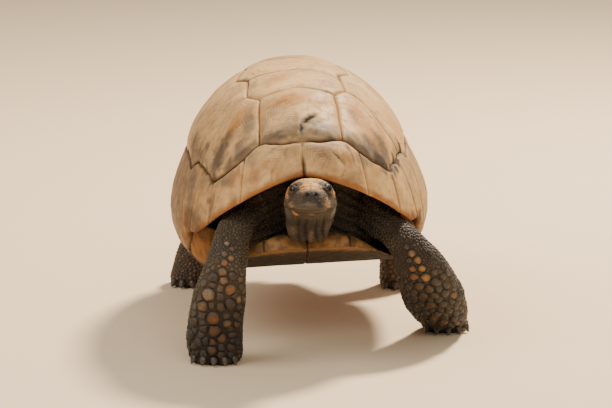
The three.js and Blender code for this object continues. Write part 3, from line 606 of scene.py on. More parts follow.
# Seams are darkest where the plates meet the marginals, and across the top.
def seam_shade(flat):
    out = np.hypot(flat[..., 0] / HALF_WIDTH, flat[..., 1] / HALF_LENGTH)
    return np.clip(0.3 + 0.65 * smooth(out, 0.8, 0.9) + 0.45 * (1 - smooth(out, 0.4, 0.6)), 0, 1)


# A seam's dark line is about twice as broad on the flat top.
def seam_span(flat):
    return mix(0.42, 1.0, smooth(np.hypot(flat[..., 0] / HALF_WIDTH, flat[..., 1] / HALF_LENGTH), 0.3, 0.6))


ROWS_OUT = 30                  # rings of points from the middle of a plate to its edge
AREOLA = 0.3                   # share of a plate that is its first, smooth centre


def plate(name, loop, middle, swell):
    border = wandering(finely(loop, 1.8))
    middle = np.array(middle, float)
    reach = np.linalg.norm(border - middle, axis=1)
    share = 1 - (1 - np.linspace(0, 1, ROWS_OUT)) ** 1.25
    inner = np.concatenate([share, [1, 1, 0.6, 0]])[:, None]
    share = inner * (1 - SEAM_GAP / reach)[None]
    flat = middle + share[..., None] * (border - middle)[None]
    ring = (1 - share) * reach
    low = np.zeros(share.shape)
    low[ROWS_OUT:] = PLATE_DEPTH
    depth, dark = scarred(flat)
    dark = np.maximum(dark, clouds_at(flat, DARK))
    old = smooth(share, AREOLA, 0.75)
    steps = np.sin(ring * (2 * math.pi / RING_SPACING) + 1.2 * plan_waves(flat, 30.0, 2, 6))
    lift = (swell * (1 - share ** 2) - SEAM_DEPTH * np.exp(-(ring / 1.4) ** 2)
            - 0.6 * np.exp(-(ring / 4.5) ** 2)
            + 0.055 * old * steps + 0.5 * plan_waves(flat, 40.0, 3, 4) + 0.12 * plan_waves(flat, 9.0, 3, 8)
            - depth - low)
    lift[ROWS_OUT:] = -low[ROWS_OUT:]
    lift[ROWS_OUT] = -SEAM_DEPTH - 1.5
    piece = ringed(name + "_horn", placed(on_dome(flat, lift)), ring=ring * seam_span(flat), dark=dark,
                   warm=clouds_at(flat, WARM),
                   cool=clouds_at(flat, COOL), wear=np.zeros(share.shape), seam=seam_shade(flat))
    piece.data.materials.append(shell_horn)
    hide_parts(name)
    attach(piece, "root")


for k, middle_y in enumerate((-158, -84, 1, 84, 164)):
    plate(f"vertebral_{k + 1}", vertebral_loop(k), (0, middle_y), 2.1)
for k, (middle_x, middle_y) in enumerate(((70, -142), (88, -52), (90, 44), (74, 128))):
    plate(f"costal_left_{k + 1}", costal_loop(k), (middle_x, middle_y), 1.8)
    plate(f"costal_right_{k + 1}", mirrored(costal_loop(k)), (-middle_x, middle_y), 1.8)

# ---------------------------------------------------------------- marginal plates
# Eleven plates on each side and one over the tail edge the shell. Those of the bridge turn under to
# meet the belly. They carry growth lines along their seams, and the rim is worn to orange-brown.
MARGINAL_SEAMS = [(0, 0), (26.5, 27.5), (42.5, 43.5), (53.5, 56), (66.5, 63.5), (78, 77.5), (90, 90),
                  (102, 103),
                  (115, 117), (131, 133), (147, 149), (164, 166), (196, 194)]
FREE_DROP = curve((0, 0), (0.2, 1.6), (0.4, 2.9), (0.6, 2.7), (0.8, 0.3), (1, -6))
FREE_INSET = curve((0, 0), (0.2, 0.35), (0.4, 1.9), (0.6, 5.0), (0.8, 8.5), (1, 12))
BRIDGE_DROP = curve((0, 0), (0.2, 8), (0.4, 15), (0.6, 22.5), (0.8, 28.4), (1, 28.5))
BRIDGE_INSET = curve((0, 0), (0.2, 0.1), (0.4, 1.4), (0.6, 3.7), (0.8, 6.6), (1, 12))
OUTER_POINTS = 40
LIP_POINTS = 16
MARGINAL_ROWS = 40
MARGINAL_GAP = 0.05            # degrees at each seam
RIM_LINES = 2.6                # between growth lines on the rim
RIM_WEAR = 7.0                 # how far the orange edge reaches up the plate

# Spots on the rim: [side, angle, share of the way out (each 0.01 past 1 is 1 mm down the lip), radius,
# warm, cool, dark]
RIM_SPOTS = [(-1, 63, 1.0, 24, 1, 0, 0), (-1, 35, 0.95, 10, 0, 0.9, 0), (-1, 40, 0.93, 9, 0.8, 0, 0),
             (-1, 43, 0.975, 6, 0, 0.2, 0.6),
             (-1, 44, 0.94, 5, 0, 0.3, 0.5), (-1, 53, 0.89, 4, 0, 0.4, 0.7), (-1, 57, 0.99, 18, 1, 0, 0.55),
             (-1, 50, 1, 16, 1, 0, 0.5), (-1, 22, 0.93, 12, 0.1, 0.55, 0),
             (-1, 16, 0.965, 13, 0.45, 0.1, 0),
             (-1, 27, 0.965, 9, 0.5, 0, 0), (-1, 5, 0.95, 11, 0.3, 0.25, 0),
             (-1, 21, 0.975, 11, 0.6, 0.3, 0.12),
             (-1, 12, 0.98, 10, 0.4, 0, 0.06), (-1, 31, 0.955, 12, 0.6, 0.5, 0.14),
             (-1, 51, 1.03, 11, 1, 0, 0.62),
             (1, 31, 0.935, 8, 0, 0.6, 0.3), (1, 38, 0.94, 8, 0, 0.7, 0.42), (1, 42, 0.955, 5, 0, 0.3, 0.3),
             (1, 27, 0.94, 10, 0, 0.85, 0), (1, 20, 0.95, 12, 0.5, 0.2, 0), (1, 10, 0.95, 12, 0.25, 0.4, 0),
             (1, 34, 0.95, 11, 0.45, 0.1, 0), (1, 42, 0.955, 3.5, 0, 0.1, 0.85),
             (1, 45, 0.905, 6, 0, 0.8, 0.6),
             (1, 49, 0.89, 5, 0, 0.7, 0.75), (1, 52, 1, 9, 1, 0, 0.3), (1, 55, 0.98, 6, 0.6, 0, 0.35),
             (1, 54, 0.875, 4, 0, 0.2, 0.8), (1, 44.5, 0.935, 7, 0, 0.9, 0.7),
             (1, 48, 0.915, 7, 0, 0.9, 0.8), (1, 52, 0.885, 7, 0, 0.8, 0.8), (-1, 70, 0.97, 40, 0.35, 0.55,
                     0.12), (1, 60, 0.93, 9, 0, 0.6, 0.15), (-1, 62, 0.93, 12, 0.2, 0.6, 0),
             (-1, 72, 0.94, 16, 0.7, 0.3, 0), (-1, 82, 0.95, 16, 0, 0.7, 0),
             (-1, 64, 0.9, 18, 0.3, 0.5, 0.1), (1, 75, 0.95, 16, 0.5, 0.2, 0),
             (1, 100, 0.95, 18, 0, 0.6, 0), (-1, 100, 0.95, 16, 0.5, 0.2, 0), (1, 120, 0.94, 18, 0.5, 0, 0),
             (1, 145, 0.95, 18, 0.3, 0.5, 0), (-1, 125, 0.95, 18, 0.1, 0.6, 0),
             (-1, 150, 0.95, 20, 0.6, 0.2, 0),
             (1, 168, 0.95, 16, 0.6, 0.1, 0), (1, 180, 0.95, 20, 0.3, 0.5, 0),
             (-1, 58, 1.1, 13, 1, 0, 0.45),
             (-1, 62, 1.14, 10, 1, 0, 0.5), (1, 58, 1.08, 12, 1, 0, 0.62)]


def closed(rings):
    """The rings with a row drawn together to a point put before the first and after the last."""
    first, last = (np.broadcast_to(row.mean(0), row.shape)[None] for row in (rings[0], rings[-1]))
    return np.concatenate([first, rings, last])


def rim_marks(places, side):
    ragged = waves(places, 12.0, 3, 11)
    total = {label: np.zeros(places.shape[:-1]) for label in ("warm", "cool", "dark")}
    for where, angle, share, radius, *strengths in RIM_SPOTS:
        if where != side and angle != 180:
            continue
        middle = on_dome(plan(float(angle), min(share, 1)) * (side, 1)) - (0, 0, 100 * max(share - 1, 0))
        off = np.linalg.norm(places - middle, axis=-1) / radius + 0.45 * ragged
        for label, strength in zip(total, strengths):
            total[label] = np.maximum(total[label], strength * (1 - smooth(off, 0.35, 1.2)))
    return total


def marginal(name, replaced, k, side):
    (top0, rim0), (top1, rim1) = MARGINAL_SEAMS[k - 1], MARGINAL_SEAMS[k]
    v = np.linspace(0, 1, MARGINAL_ROWS)[:, None]
    top_angle = mix(top0 + MARGINAL_GAP * (k > 1), top1 - MARGINAL_GAP, v)
    rim_angle = mix(rim0 + MARGINAL_GAP, rim1 - MARGINAL_GAP, v)
    top = MARGINAL_TOP(top_angle) + 0.003
    out = np.linspace(0, 1, OUTER_POINTS)[None]
    share = mix(top, 1, out)
    flat = plan(mix(top_angle, rim_angle, out), share) * (side, 1)
    flat = mix(flat, wandering(flat), (1 - smooth(share, 0.93, 1))[..., None])
    bare = on_dome(flat)
    width = np.linalg.norm(bare[-1, -1] - bare[0, -1])
    down = np.cumsum(np.linalg.norm(np.diff(bare, axis=1, prepend=bare[:, :1]), axis=2), axis=1)
    to_seam = np.minimum(v, 1 - v) * width
    ring = np.minimum(to_seam, down)
    to_rim = down[:, -1:] - down
    lines = np.sin(ring * (2 * math.pi / RIM_LINES) + 3.0 * waves(bare, 16.0, 3, 6))
    patch = smooth(waves(bare, 24.0, 3, 15), -0.25, 0.35)
    deep, scar = scarred(flat)
    # The seam over the neck is only a fine line above, and opens towards the rim.
    shut = 0.95 * (k == 1) * (1 - smooth(v, 0, 0.4)) * (1 - smooth(out, 0.3, 0.8))
    lift = (0.9 * (1 - np.exp(-ring / 6)) - deep - SEAM_DEPTH * (1 - shut) * np.exp(-(ring / 1.3) ** 2)
            + 0.045 * lines * patch + 0.35 * waves(bare, 26.0, 3, 4) + 0.1 * waves(bare, 7.0, 3, 8))
    lift = lift * smooth(to_rim + 1.2, 0, 4)
    outer = on_dome(flat, lift)

    # The lip turns in below the edge, or right down to the belly along the bridge.
    around = np.abs(rim_angle)
    bridge = smooth(around, 55, 63) * (1 - smooth(around, 114, 124))
    t = np.linspace(0, 1, LIP_POINTS + 1)[None, 1:]
    edge = outer[:, -1:]
    inward = -edge * (1, 1, 0)
    inward = inward / np.linalg.norm(inward, axis=-1, keepdims=True)
    drop = mix(FREE_DROP(t), BRIDGE_DROP(t), bridge)
    inset = mix(FREE_INSET(t), BRIDGE_INSET(t), bridge)
    sunk = SEAM_DEPTH * np.exp(-to_seam ** 2) * np.sin(math.pi * t) ** 0.5
    rolled = 0.25 * waves(edge + np.stack([0 * drop, 0 * drop, -drop], -1), 9.0, 3,
                          12) * np.sin(math.pi * t)
    lip = edge + inward * (inset + sunk + rolled)[..., None] + np.stack([0 * drop, 0 * drop, -drop], -1)
    inside = [mix(lip[:, -1], on_dome(flat[:, 0], np.full(len(v), -PLATE_DEPTH)), s)[:, None]
              for s in (0.35, 0.7, 1)]
    rings = np.concatenate([outer, lip] + inside, axis=1)
    rings = closed(rings)

    extra = LIP_POINTS + 3

    def pad(values, fill):
        return np.pad(np.concatenate([values, fill], 1), ((1, 1), (0, 0)), "edge")

    side_ring = np.broadcast_to(to_seam, (MARGINAL_ROWS, extra))
    low_edge = np.broadcast_to(np.concatenate([drop, drop[:, -1:].repeat(3, 1)], 1), side_ring.shape)
    edge_wear = smooth(-to_rim + 2.5 * waves(bare, 14.0, 3, 13), -RIM_WEAR,
                       0.5) * (1 - smooth(around, 60, 70))
    lip_wear = (1 - bridge) * (1 - 0.5 * smooth(np.arange(extra)[None] + 0 * v, 4,
                                                14)) + bridge * 0.25 * (low_edge > 18)
    marks = rim_marks(rings, side)
    marks["dark"] = np.maximum(marks["dark"], pad(scar, np.repeat(scar[:, -1:], extra, 1)))
    # The sides are darker, greyer and browner than the front, and most so on the right.
    darker_sides = np.pad(smooth(around, 28, 62) * (0.95 if side < 0 else 0.4), ((1, 1), (0, 0)), "edge")
    marks["cool"] = np.maximum(marks["cool"], darker_sides * smooth(waves(rings, 22.0, 3, 17), -0.7, 0.3))
    marks["warm"] = np.maximum(marks["warm"], 0.45 * darker_sides)
    marks["dark"] = np.maximum(marks["dark"], 0.2 * darker_sides)
    upper = pad(smooth(down, 6, 2), 0 * side_ring)
    marks["seam"] = 0.75 * upper + mix(0.08, 0.6, smooth(abs(rim0), 45, 62)) * (1 - 0.75 * upper)
    piece = ringed(name, placed(rings), ring=pad(ring, side_ring),
                   wear=pad(edge_wear * 0.85, lip_wear * 0.85), **marks)
    piece.data.materials.append(rim_horn)
    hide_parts(replaced)
    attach(piece, "root")


rim_horn = horn("rim_horn", (0.62, 0.385, 0.165, 1), (0.38, 0.145, 0.03, 1), (0.15, 0.115, 0.08, 1),
                (0.24, 0.08, 0.012, 1),
                0.52, growth=0.55)
for side, word in ((1, "left"), (-1, "right")):
    for k in range(1, 12):
        marginal(f"marginal_{word}_{k}",
                 f"marginals_{'front' if k < 4 else 'bridge' if k < 8 else 'rear'}_{word}", k, side)
marginal("supracaudal_plate", "supracaudal", 12, 1)

# ---------------------------------------------------------------- plastron
# The belly is six pairs of flat plates. The front pair is thickened to a blunt lip below the neck,
# and the bridge carries two pairs up to the rim. They are yellow-brown, darker in their centres.
LOBE_START = -99
LOBE_END = -203
BRIDGE_FOOT = 90
BRIDGE_NOMINAL = 128
BRIDGE_TOP = 20.6
BELLY_DEPTH = 6
GULAR_PAD = 15
BELLY_GAP = 0.35


def belly_point(flat):
    x, y = flat[..., 0], flat[..., 1]
    out = np.maximum(0, (np.abs(x) - BRIDGE_FOOT) / (BRIDGE_NOMINAL - BRIDGE_FOOT))
    share = np.clip(np.abs(y) / HALF_LENGTH, 0, 1)
    end = HALF_WIDTH * (1 - share ** SQUARENESS) ** (1 / SQUARENESS) - 6.9
    reach = np.minimum(np.abs(x), BRIDGE_FOOT) + out * (end - BRIDGE_FOOT)
    front = 38 * np.maximum(0, (y - LOBE_START) / (LOBE_END - LOBE_START)) ** 1.25
    rear = 7 * np.maximum(0, (y - 150) / 55) ** 1.5
    return np.stack([np.sign(x) * reach, y, BRIDGE_TOP * out ** 2.6 + front + rear], -1)


def in_belly(flat, depth):
    """A place at some depth above the belly's outer face, square to it."""
    x, y = np.array([0.5, 0]), np.array([0, 0.5])
    normal = np.cross(belly_point(flat + x) - belly_point(flat - x),
                      belly_point(flat + y) - belly_point(flat - y))
    normal /= np.linalg.norm(normal, axis=-1, keepdims=True)
    inside = belly_point(flat) + normal * depth[..., None]
    inside[..., 2] = np.where(np.abs(flat[..., 0]) > BRIDGE_FOOT + 1,
                              np.minimum(inside[..., 2], BRIDGE_TOP),
                              inside[..., 2])
    return inside


belly_horn = horn("belly_horn", (0.27, 0.135, 0.04, 1), (0.05, 0.024, 0.010, 1), (0.12, 0.07, 0.03, 1),
                  (0.23, 0.108, 0.028, 1), 0.42, (0.02, 0.012, 0.008, 1), (0.07, 0.035, 0.015, 1),
                  (0.2, 0.1, 0.03, 1))
BELLY_ROWS = {
    "gular": ([(0, -202), (24, -205.5), (42, -203)], [(0, -150), (43, -200.5)], (16, -190)),
    "humeral": ([(0, -150), (43, -200.5), (60, -187)], [(0, -78), (60, -101), (91, -113)], (44, -135)),
    "pectoral": ([(0, -78), (60, -101), (91, -113), (128, -104)],
                 [(0, -55), (60, -60), (91, -68), (128, -64)],
                 (64, -83)),
    "abdominal": ([(0, -55), (60, -60), (91, -68), (128, -64)], [(0, 78), (58, 90), (86, 102), (128, 96)],
                  (60, 16)),
    "femoral": ([(0, 78), (58, 90), (82, 101)], [(0, 150), (36, 166), (54, 177)], (38, 125)),
    "anal": ([(0, 150), (36, 166), (54, 177)], [(0, 188), (20, 200), (38, 203), (50, 189)], (24, 180)),
}
OUTER_BULGE = {"humeral": 5}
# Rows over the edge of each plate and in across its inner face, and how they round its thickness off.
BELLY_INNER = [1, 1, 0.975, 0.93, 0.86, 0.76, 0.63, 0.45, 0.22, 0]
BELLY_ROUNDING = [0.2, 0.42, 0.62, 0.78, 0.9, 0.97, 1, 1, 1, 1]


def belly_plate(row, side, word):
    front, rear, middle = BELLY_ROWS[row]
    (x0, y0), (x1, y1) = front[-1], rear[-1]
    bulge = OUTER_BULGE.get(row, 0)
    outer = [(mix(x0, x1, t) + bulge * math.sin(math.pi * t), mix(y0, y1, t)) for t in (0.25, 0.5, 0.75)]
    border = finely(front + outer + rear[::-1], 2.0) * (side, 1)
    border = mix(border, wandering(border), (1 - smooth(np.abs(border[:, 0]), 100, 120))[:, None])
    middle = np.array(middle) * (side, 1.0)
    reach = np.linalg.norm(border - middle, axis=1)
    share = 1 - (1 - np.linspace(0, 1, ROWS_OUT)) ** 1.25
    share = np.concatenate([share, BELLY_INNER])[:, None] * (1 - BELLY_GAP / reach)[None]
    flat = middle + share[..., None] * (border - middle)
    ring = (1 - share) * reach
    steps = np.sin(ring * (2 * math.pi / 3.4) + 1.2 * plan_waves(flat, 30.0, 2, 6))
    depth = (1.1 * np.exp(-(ring / 1.2) ** 2) - 0.08 * smooth(share, 0.3, 0.7) * steps
             - 0.3 * plan_waves(flat, 30.0, 3, 4)
             - 0.08 * plan_waves(flat, 7.0, 3, 8) + 0.4)
    x, y = np.abs(flat[..., 0]), -flat[..., 1]
    lobe = mix(0.6, 1.0, smooth(x, 0, 20)) * (1 - smooth(x, 26, 78))
    pad = GULAR_PAD * smooth(y, 140, 168) * (1 - 0.45 * smooth(y, 184, 207)) * lobe
    depth[ROWS_OUT:] = (BELLY_DEPTH + pad)[ROWS_OUT:] * np.array(BELLY_ROUNDING)[:, None]
    on_top = np.arange(len(share))[:, None] >= ROWS_OUT - 1
    centre = 1 - smooth(share, 0.15, 0.75)
    stained = smooth(waves(in_belly(flat, depth), 9.0, 4, 16), -0.25, 0.3)
    lip = smooth(y + 0.0035 * x ** 2 + 3 * plan_waves(flat, 14.0, 3, 19), 186, 205)
    # The front of the belly's underside is darkened: partly its own dark horn and partly painted shade.
    dark = 0.96 * smooth(y, 60, 100) * ~on_top * (1 - 0.9 * lip) + 0.6 * on_top * stained
    joins = np.exp(-((x - 43) / 1.6) ** 4) + np.exp(-(x / 1.0) ** 4)
    dark = np.maximum(dark, 0.85 * joins * on_top * (y > 180))
    wear = 0.92 * smooth(y, 130, 155) * np.maximum(0.9 * on_top, lip) * (1 - 0.35 * stained)
    piece = ringed(f"belly_{row}_{word}", placed(in_belly(flat, depth)), ring=np.where(on_top, 9.0, ring),
                   warm=0.9 * centre * (row != "gular"), cool=np.zeros(share.shape), dark=dark, wear=wear,
                   seam=1.0 - on_top)
    piece.data.materials.append(belly_horn)
    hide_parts(f"plastron_{row}")
    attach(piece, "root")


for row in BELLY_ROWS:
    belly_plate(row, 1, "left")
    belly_plate(row, -1, "right")


# ---------------------------------------------------------------- axillary and inguinal plates
# Small plates of horn close both ends of each bridge, standing across the notch between the belly and
# the marginals. They are thin, a little bowed, and carry growth lines like the marginals.
def notch_plate(name, side, inner, outer, rim_angle, top, bow):
    across = np.linspace(0, 1, 26)[:, None]
    up = np.linspace(0, 1, 22)[None]
    foot = belly_point(np.stack([mix(inner[0], outer[0], across), mix(inner[1], outer[1], across)],
                                -1)) + (0, 0, 0.8)
    edge = on_dome(plan(np.array([float(rim_angle)]), 0.985))[0] - (0, 0, 7)
    head = mix(np.array(top, float), edge, across[..., None])
    wall = mix(foot, head, up[..., None])
    wall[..., 1] += bow * np.sin(math.pi * up) * (1 - 0.5 * across)
    ring = np.minimum(np.minimum(across, 1 - across) * 34, np.minimum(up, 1 - up) * 40)
    wall[..., 1] -= math.copysign(1.0, inner[1]) * (0.9 * np.exp(-(ring / 1.5) ** 2)
                                                    - 0.12 * np.sin(ring * 2.4))
    back = wall - (0, math.copysign(2.6, inner[1]), 0)
    rings = np.concatenate([wall, back[:, ::-1]], 1) * (side, 1, 1)
    rings = closed(rings)
    both = np.pad(np.concatenate([ring, ring[:, ::-1]], 1), ((1, 1), (0, 0)), "edge")
    ragged = smooth(waves(rings * (1, 1, 0.15), 5.0, 3, 14), -0.25, 0.25)
    piece = ringed(name, placed(rings), ring=both, warm=np.full(both.shape, 0.9), cool=0.3 * (1 - ragged),
                   dark=0.55 * (1 - ragged),
                   wear=0.6 * ragged * (inner[1] < 0), seam=np.full(both.shape, 0.8))
    piece.data.materials.append(rim_horn)
    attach(piece, "root")


for side, word in ((1, "left"), (-1, "right")):
    notch_plate(f"axillary_{word}", side, (88, -112), (127, -104), 60, (84, -119, 44), -5)
    notch_plate(f"inguinal_{word}", side, (84, 101), (127, 96), 117, (82, 112, 42), 5)

# ---------------------------------------------------------------- skin
# One thick, folded hide covers head, neck, legs and tail and runs in under the shell. The forms of the
# flesh are melted together, smoothed, split finer where they show most, and then sculpted.
LIMBS = {
    "foreleg_right": [(-46, -100, 150, 18, 18), (-55, -145, 143, 18.5, 17), (-64, -186, 131, 17.5, 15.5),
                      (-70.5, -208, 107, 20.5, 15), (-76.5, -205, 80, 23.5, 16.5),
                      (-81, -198, 52, 25.5, 18),
                      (-83.5, -190, 28, 26, 20), (-82.5, -186, 10, 25.5, 22), (-82.5, -185.5, 0, 22, 18.5)],
    "foreleg_left": [(48, -96, 154, 19, 18), (72, -136, 142, 19, 18), (104, -151, 119, 16, 18.5),
                     (120, -148, 97, 24, 17), (129, -133, 74, 30, 18), (138.5, -109, 50, 32, 20.5),
                     (147.5, -80, 28, 28.5, 21), (152.5, -56, 10, 25, 22.5), (153, -53, 0, 22, 19)],
    "hindleg_right": [(-40, 112, 138, 20, 22), (-60, 146, 122, 20, 22), (-80, 166, 100, 19.5, 20),
                      (-95, 167, 77, 19.5, 20), (-106, 161, 55, 20, 21), (-116, 156, 33, 21, 21.5),
                      (-121.5, 154, 10, 22.5, 23), (-121.5, 154.5, 0, 20, 20)],
    "hindleg_left": [(46, 96, 150, 21, 22), (64, 119, 134, 21, 21), (90, 134, 109, 20, 21),
                     (106.5, 140, 82, 20, 22), (111, 141, 56, 20.5, 21), (112, 143, 30, 21, 21.5),
                     (112, 146, 10, 22, 23), (112, 147, 0, 19.5, 20)],
}
HEAD_X = 12.2
HEAD_LINE = [(9, -125, 163, 33, 27), (10.5, -165, 162, 29, 23), (11.5, -190, 161, 27, 23),
             (12.2, -212, 160.5, 25, 26),
             (12.2, -224, 166, 25.5, 27), (12.2, -237, 174, 25.6, 24), (12.2, -250, 178, 24.8, 20),
             (12.6, -262, 179, 21.8, 17), (13, -273, 179.5, 17.6, 15), (13.4, -282, 180, 13.4, 12.5),
             (13.6, -288, 180.8, 9, 9)]
TAIL_LINE = [(0, 140, 40, 18, 16), (0, 176, 36, 15, 13), (2, 196, 28, 11, 10), (6, 209, 18, 7, 7),
             (9, 217, 9, 3.5, 3.5)]
EYE_RIGHT = Vector((-1.8, -256.5, 188.6))
EYE_RADIUS = 6.6
MOUTH_SLOPE = math.tan(math.radians(8.6))
MOUTH_FRONT = (-284, 176.4)
MOUTH_CORNER = -243
HIDE_GRAIN = 0.004            # size of the squares that the hide is melted into
FLESH = ["trunk", "neck", "head", "beak_upper", "beak_lower", "eye_left", "eye_right", "tail"] + list(LIMBS)


def in_mm(points):
    return (np.asarray(points, float) - np.array(origin)) / MM


def in_place(points):
    return np.asarray(points, float) * MM + np.array(origin)


def points_of(piece):
    return in_mm(values_of(piece.data.vertices, "co"))


def shape(piece, points):
    piece.data.vertices.foreach_set("co", in_place(points).ravel())
    piece.data.update()


def normals_of(piece):
    return values_of(piece.data.vertex_normals, "vector")


# Draws every point towards the middle of its neighbours, by a strength that may vary.
def relaxed(piece, points, rounds, strength=0.5):
    one, two = values_of(piece.data.edges, "vertices", 2, int).T
    here, there = np.concatenate([one, two]), np.concatenate([two, one])
    count = np.maximum(1, np.bincount(here, minlength=len(points)))[:, None]
    for _ in range(rounds):
        total = np.stack([np.bincount(here, points[there, k], len(points)) for k in range(3)], 1)
        points = mix(points, total / count, strength)
    return points


def refine(piece, inside):
    faces = piece.data.polygons
    chosen = inside(in_mm(values_of(faces, "center")), values_of(faces, "normal"))
    bpy.ops.object.mode_set(mode="EDIT")
    bpy.ops.mesh.select_mode(type="FACE")
    bpy.ops.mesh.select_all(action="DESELECT")
    bpy.ops.object.mode_set(mode="OBJECT")
    piece.data.polygons.foreach_set("select", chosen)
    bpy.ops.object.mode_set(mode="EDIT")
    bpy.ops.mesh.subdivide(number_cuts=1)
    bpy.ops.object.mode_set(mode="OBJECT")
    split = values_of(piece.data.vertices, "select", 1, bool)
    shape(piece, relaxed(piece, points_of(piece), 2, 0.5 * split))


bpy.ops.object.select_all(action="DESELECT")
for name in FLESH:
    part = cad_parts[name].copy()
    part.data = part.data.copy()
    part.parent = None
    for key in list(part.keys()):
        del part[key]
    bpy.context.collection.objects.link(part)
    part.select_set(True)
    bpy.context.view_layer.objects.active = part
bpy.ops.object.join()
skin = bpy.context.object
skin.name = skin.data.name = "skin"
skin.data.materials.clear()
bpy.ops.object.mode_set(mode="EDIT")
bpy.ops.mesh.select_all(action="SELECT")
bpy.ops.mesh.remove_doubles(threshold=1e-6)
bpy.ops.object.mode_set(mode="OBJECT")
skin.data.remesh_voxel_size = HIDE_GRAIN
bpy.ops.object.voxel_remesh()
bpy.ops.object.mode_set(mode="EDIT")
bpy.ops.mesh.select_all(action="SELECT")
bpy.ops.mesh.vertices_smooth(factor=0.5, repeat=10)
bpy.ops.object.mode_set(mode="OBJECT")

# The lines that the limbs, the head and the tail grow along, as close points with their girth.
LINES = {"head": HEAD_LINE, "tail": [tuple(in_mm(placed(s[:3]))) + s[3:] for s in TAIL_LINE], **LIMBS}
line_points, line_girth, line_part, line_along, line_way = [], [], [], [], []
for number, stations in enumerate(LINES.values()):
    stations = np.array(stations, float)
    along = np.concatenate([[0], np.cumsum(np.linalg.norm(np.diff(stations[:, :3], axis=0), axis=1))])
    t = np.arange(0, along[-1], 2.5)
    fine = np.stack([np.interp(t, along, stations[:, k]) for k in range(5)], 1)
    way = np.gradient(fine[:, :3], axis=0)
    line_points.append(fine[:, :3])
    line_girth.append(fine[:, 3:].mean(1))
    line_part.append(np.full(len(t), number))
    line_along.append(t)
    line_way.append(way / np.linalg.norm(way, axis=1, keepdims=True))
line_points, line_girth, line_part, line_along, line_way = (
    np.concatenate(each) for each in (line_points, line_girth, line_part, line_along, line_way))


def belonging(points):
    """For each place: its part, how far along that it is, the way the part runs, and the turn round it."""
    nearest = np.concatenate([
        np.argmin(np.linalg.norm(block[:, None] - line_points[None], axis=2) / line_girth[None], axis=1)
        for block in np.array_split(points, max(1, len(points) // 4000))])
    part, way = line_part[nearest], line_way[nearest]
    off = points - line_points[nearest]
    upright = np.where((part < 2)[:, None], (0.0, 0.0, 1.0), (0.0, 1.0, 0.0))
    side = np.cross(way, upright)
    side /= np.linalg.norm(side, axis=1, keepdims=True)
    turn = np.arctan2((off * side).sum(1), (off * np.cross(side, way)).sum(1))
    return part, line_along[nearest], way, turn


def spot(points, middle, radius):
    """1 at a place, fading to 0 at a radius from it; the radius may differ along x, y and z."""
    off = np.linalg.norm((points - np.array(middle, float)) / np.array(radius, float), axis=-1)
    return 1 - smooth(off, 0, 1)


# Hide that faces the shell from close by is never seen, and stays coarse and bare.
OVERHANG = 16
shield_points, shield_faces = [], []
for name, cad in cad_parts.items():
    if name.startswith(("marginals", "supracaudal", "vertebral", "costal", "plastron")):
        start = len(shield_points)
        shield_points += [v.co.copy() for v in cad.data.vertices]
        shield_faces += [tuple(start + i for i in face.vertices) for face in cad.data.polygons]
shield = BVHTree.FromPolygons(shield_points, shield_faces)


def covered(p, out):
    starts = in_place(p + out * 0.6)
    return np.array([z > 60 and shield.ray_cast(Vector(s), Vector(f), OVERHANG * MM)[0] is not None
                     for s, f, z in zip(starts, out, p[:, 2])])


def on_show(p, out):
    return ~covered(p, out) & ((p[:, 2] < 150) | (p[:, 1] < -120))


def on_head(p, out):
    return (p[:, 1] < -207) & (np.abs(p[:, 0] - HEAD_X) < 32) & (p[:, 2] > 130)


def to_eye(p):
    return np.minimum(*(np.linalg.norm(p - np.array(eye), axis=1) for eye in (EYE_LEFT, EYE_RIGHT)))


def to_nostril(p):
    return np.min([np.linalg.norm((p - (HEAD_X + 1.3 + side * 4.2, -287.0, 189.6)) / (1, 12, 1), axis=1)
                   for side in (-1, 1)], axis=0)


def on_face(p, out):
    nose = (p[:, 1] < -272) & (p[:, 2] > 184) & (np.abs(p[:, 0] - HEAD_X - 1.3) < 8)
    return (to_eye(p) < 11) | (p[:, 1] < -280) | nose


for region in (on_show, on_head, on_face):
    refine(skin, region)

points = points_of(skin)
outward = normals_of(skin)
part, along, way, turn = belonging(points)
x, y, z = points.T
head_share = smooth(-y, 206, 222) * (part == 0)

# Broad folds where the neck slides in and out, and where each leg meets the body.
neck_share = (part == 0) * (1 - smooth(-y, 204, 220))
folds = np.sin(y * 0.62 + 2.2 * waves(points, 22.0, 3, 21) + 0.5 * np.sin(turn * 2))
lift = neck_share * (0.9 * folds - 0.5 * (folds > 0) * folds)
legs = part >= 2
top_share = legs * (1 - smooth(along, 45, 100))
creases = np.abs(waves(points * (1, 1, 0.6), 13.0, 3, 22))
lift += (top_share + 0.5 * (part == 1)) * (1.1 * smooth(creases, 0, 0.16) - 1.1)
lift += legs * (0.8 * waves(points, 24.0, 2, 23) + 0.35 * waves(points, 8.0, 3, 24))
lift += (1 - legs - head_share) * 1.2 * waves(points, 16.0, 3, 25)
lift += 2.2 * (part == 2) * (1 - smooth(z, 70, 105)) * np.abs(outward[:, 0]) ** 2
slant = z + 0.6 * np.abs(x - HEAD_X) + 5 * waves(points, 30.0, 2, 28)
shoulder = smooth(-y, 110, 150) * (1 - head_share) * (1 - smooth(along, 55, 85) * (part >= 2))
lift += shoulder * (1.5 * np.sin(slant * 2 * math.pi / 10.5) - 0.6)

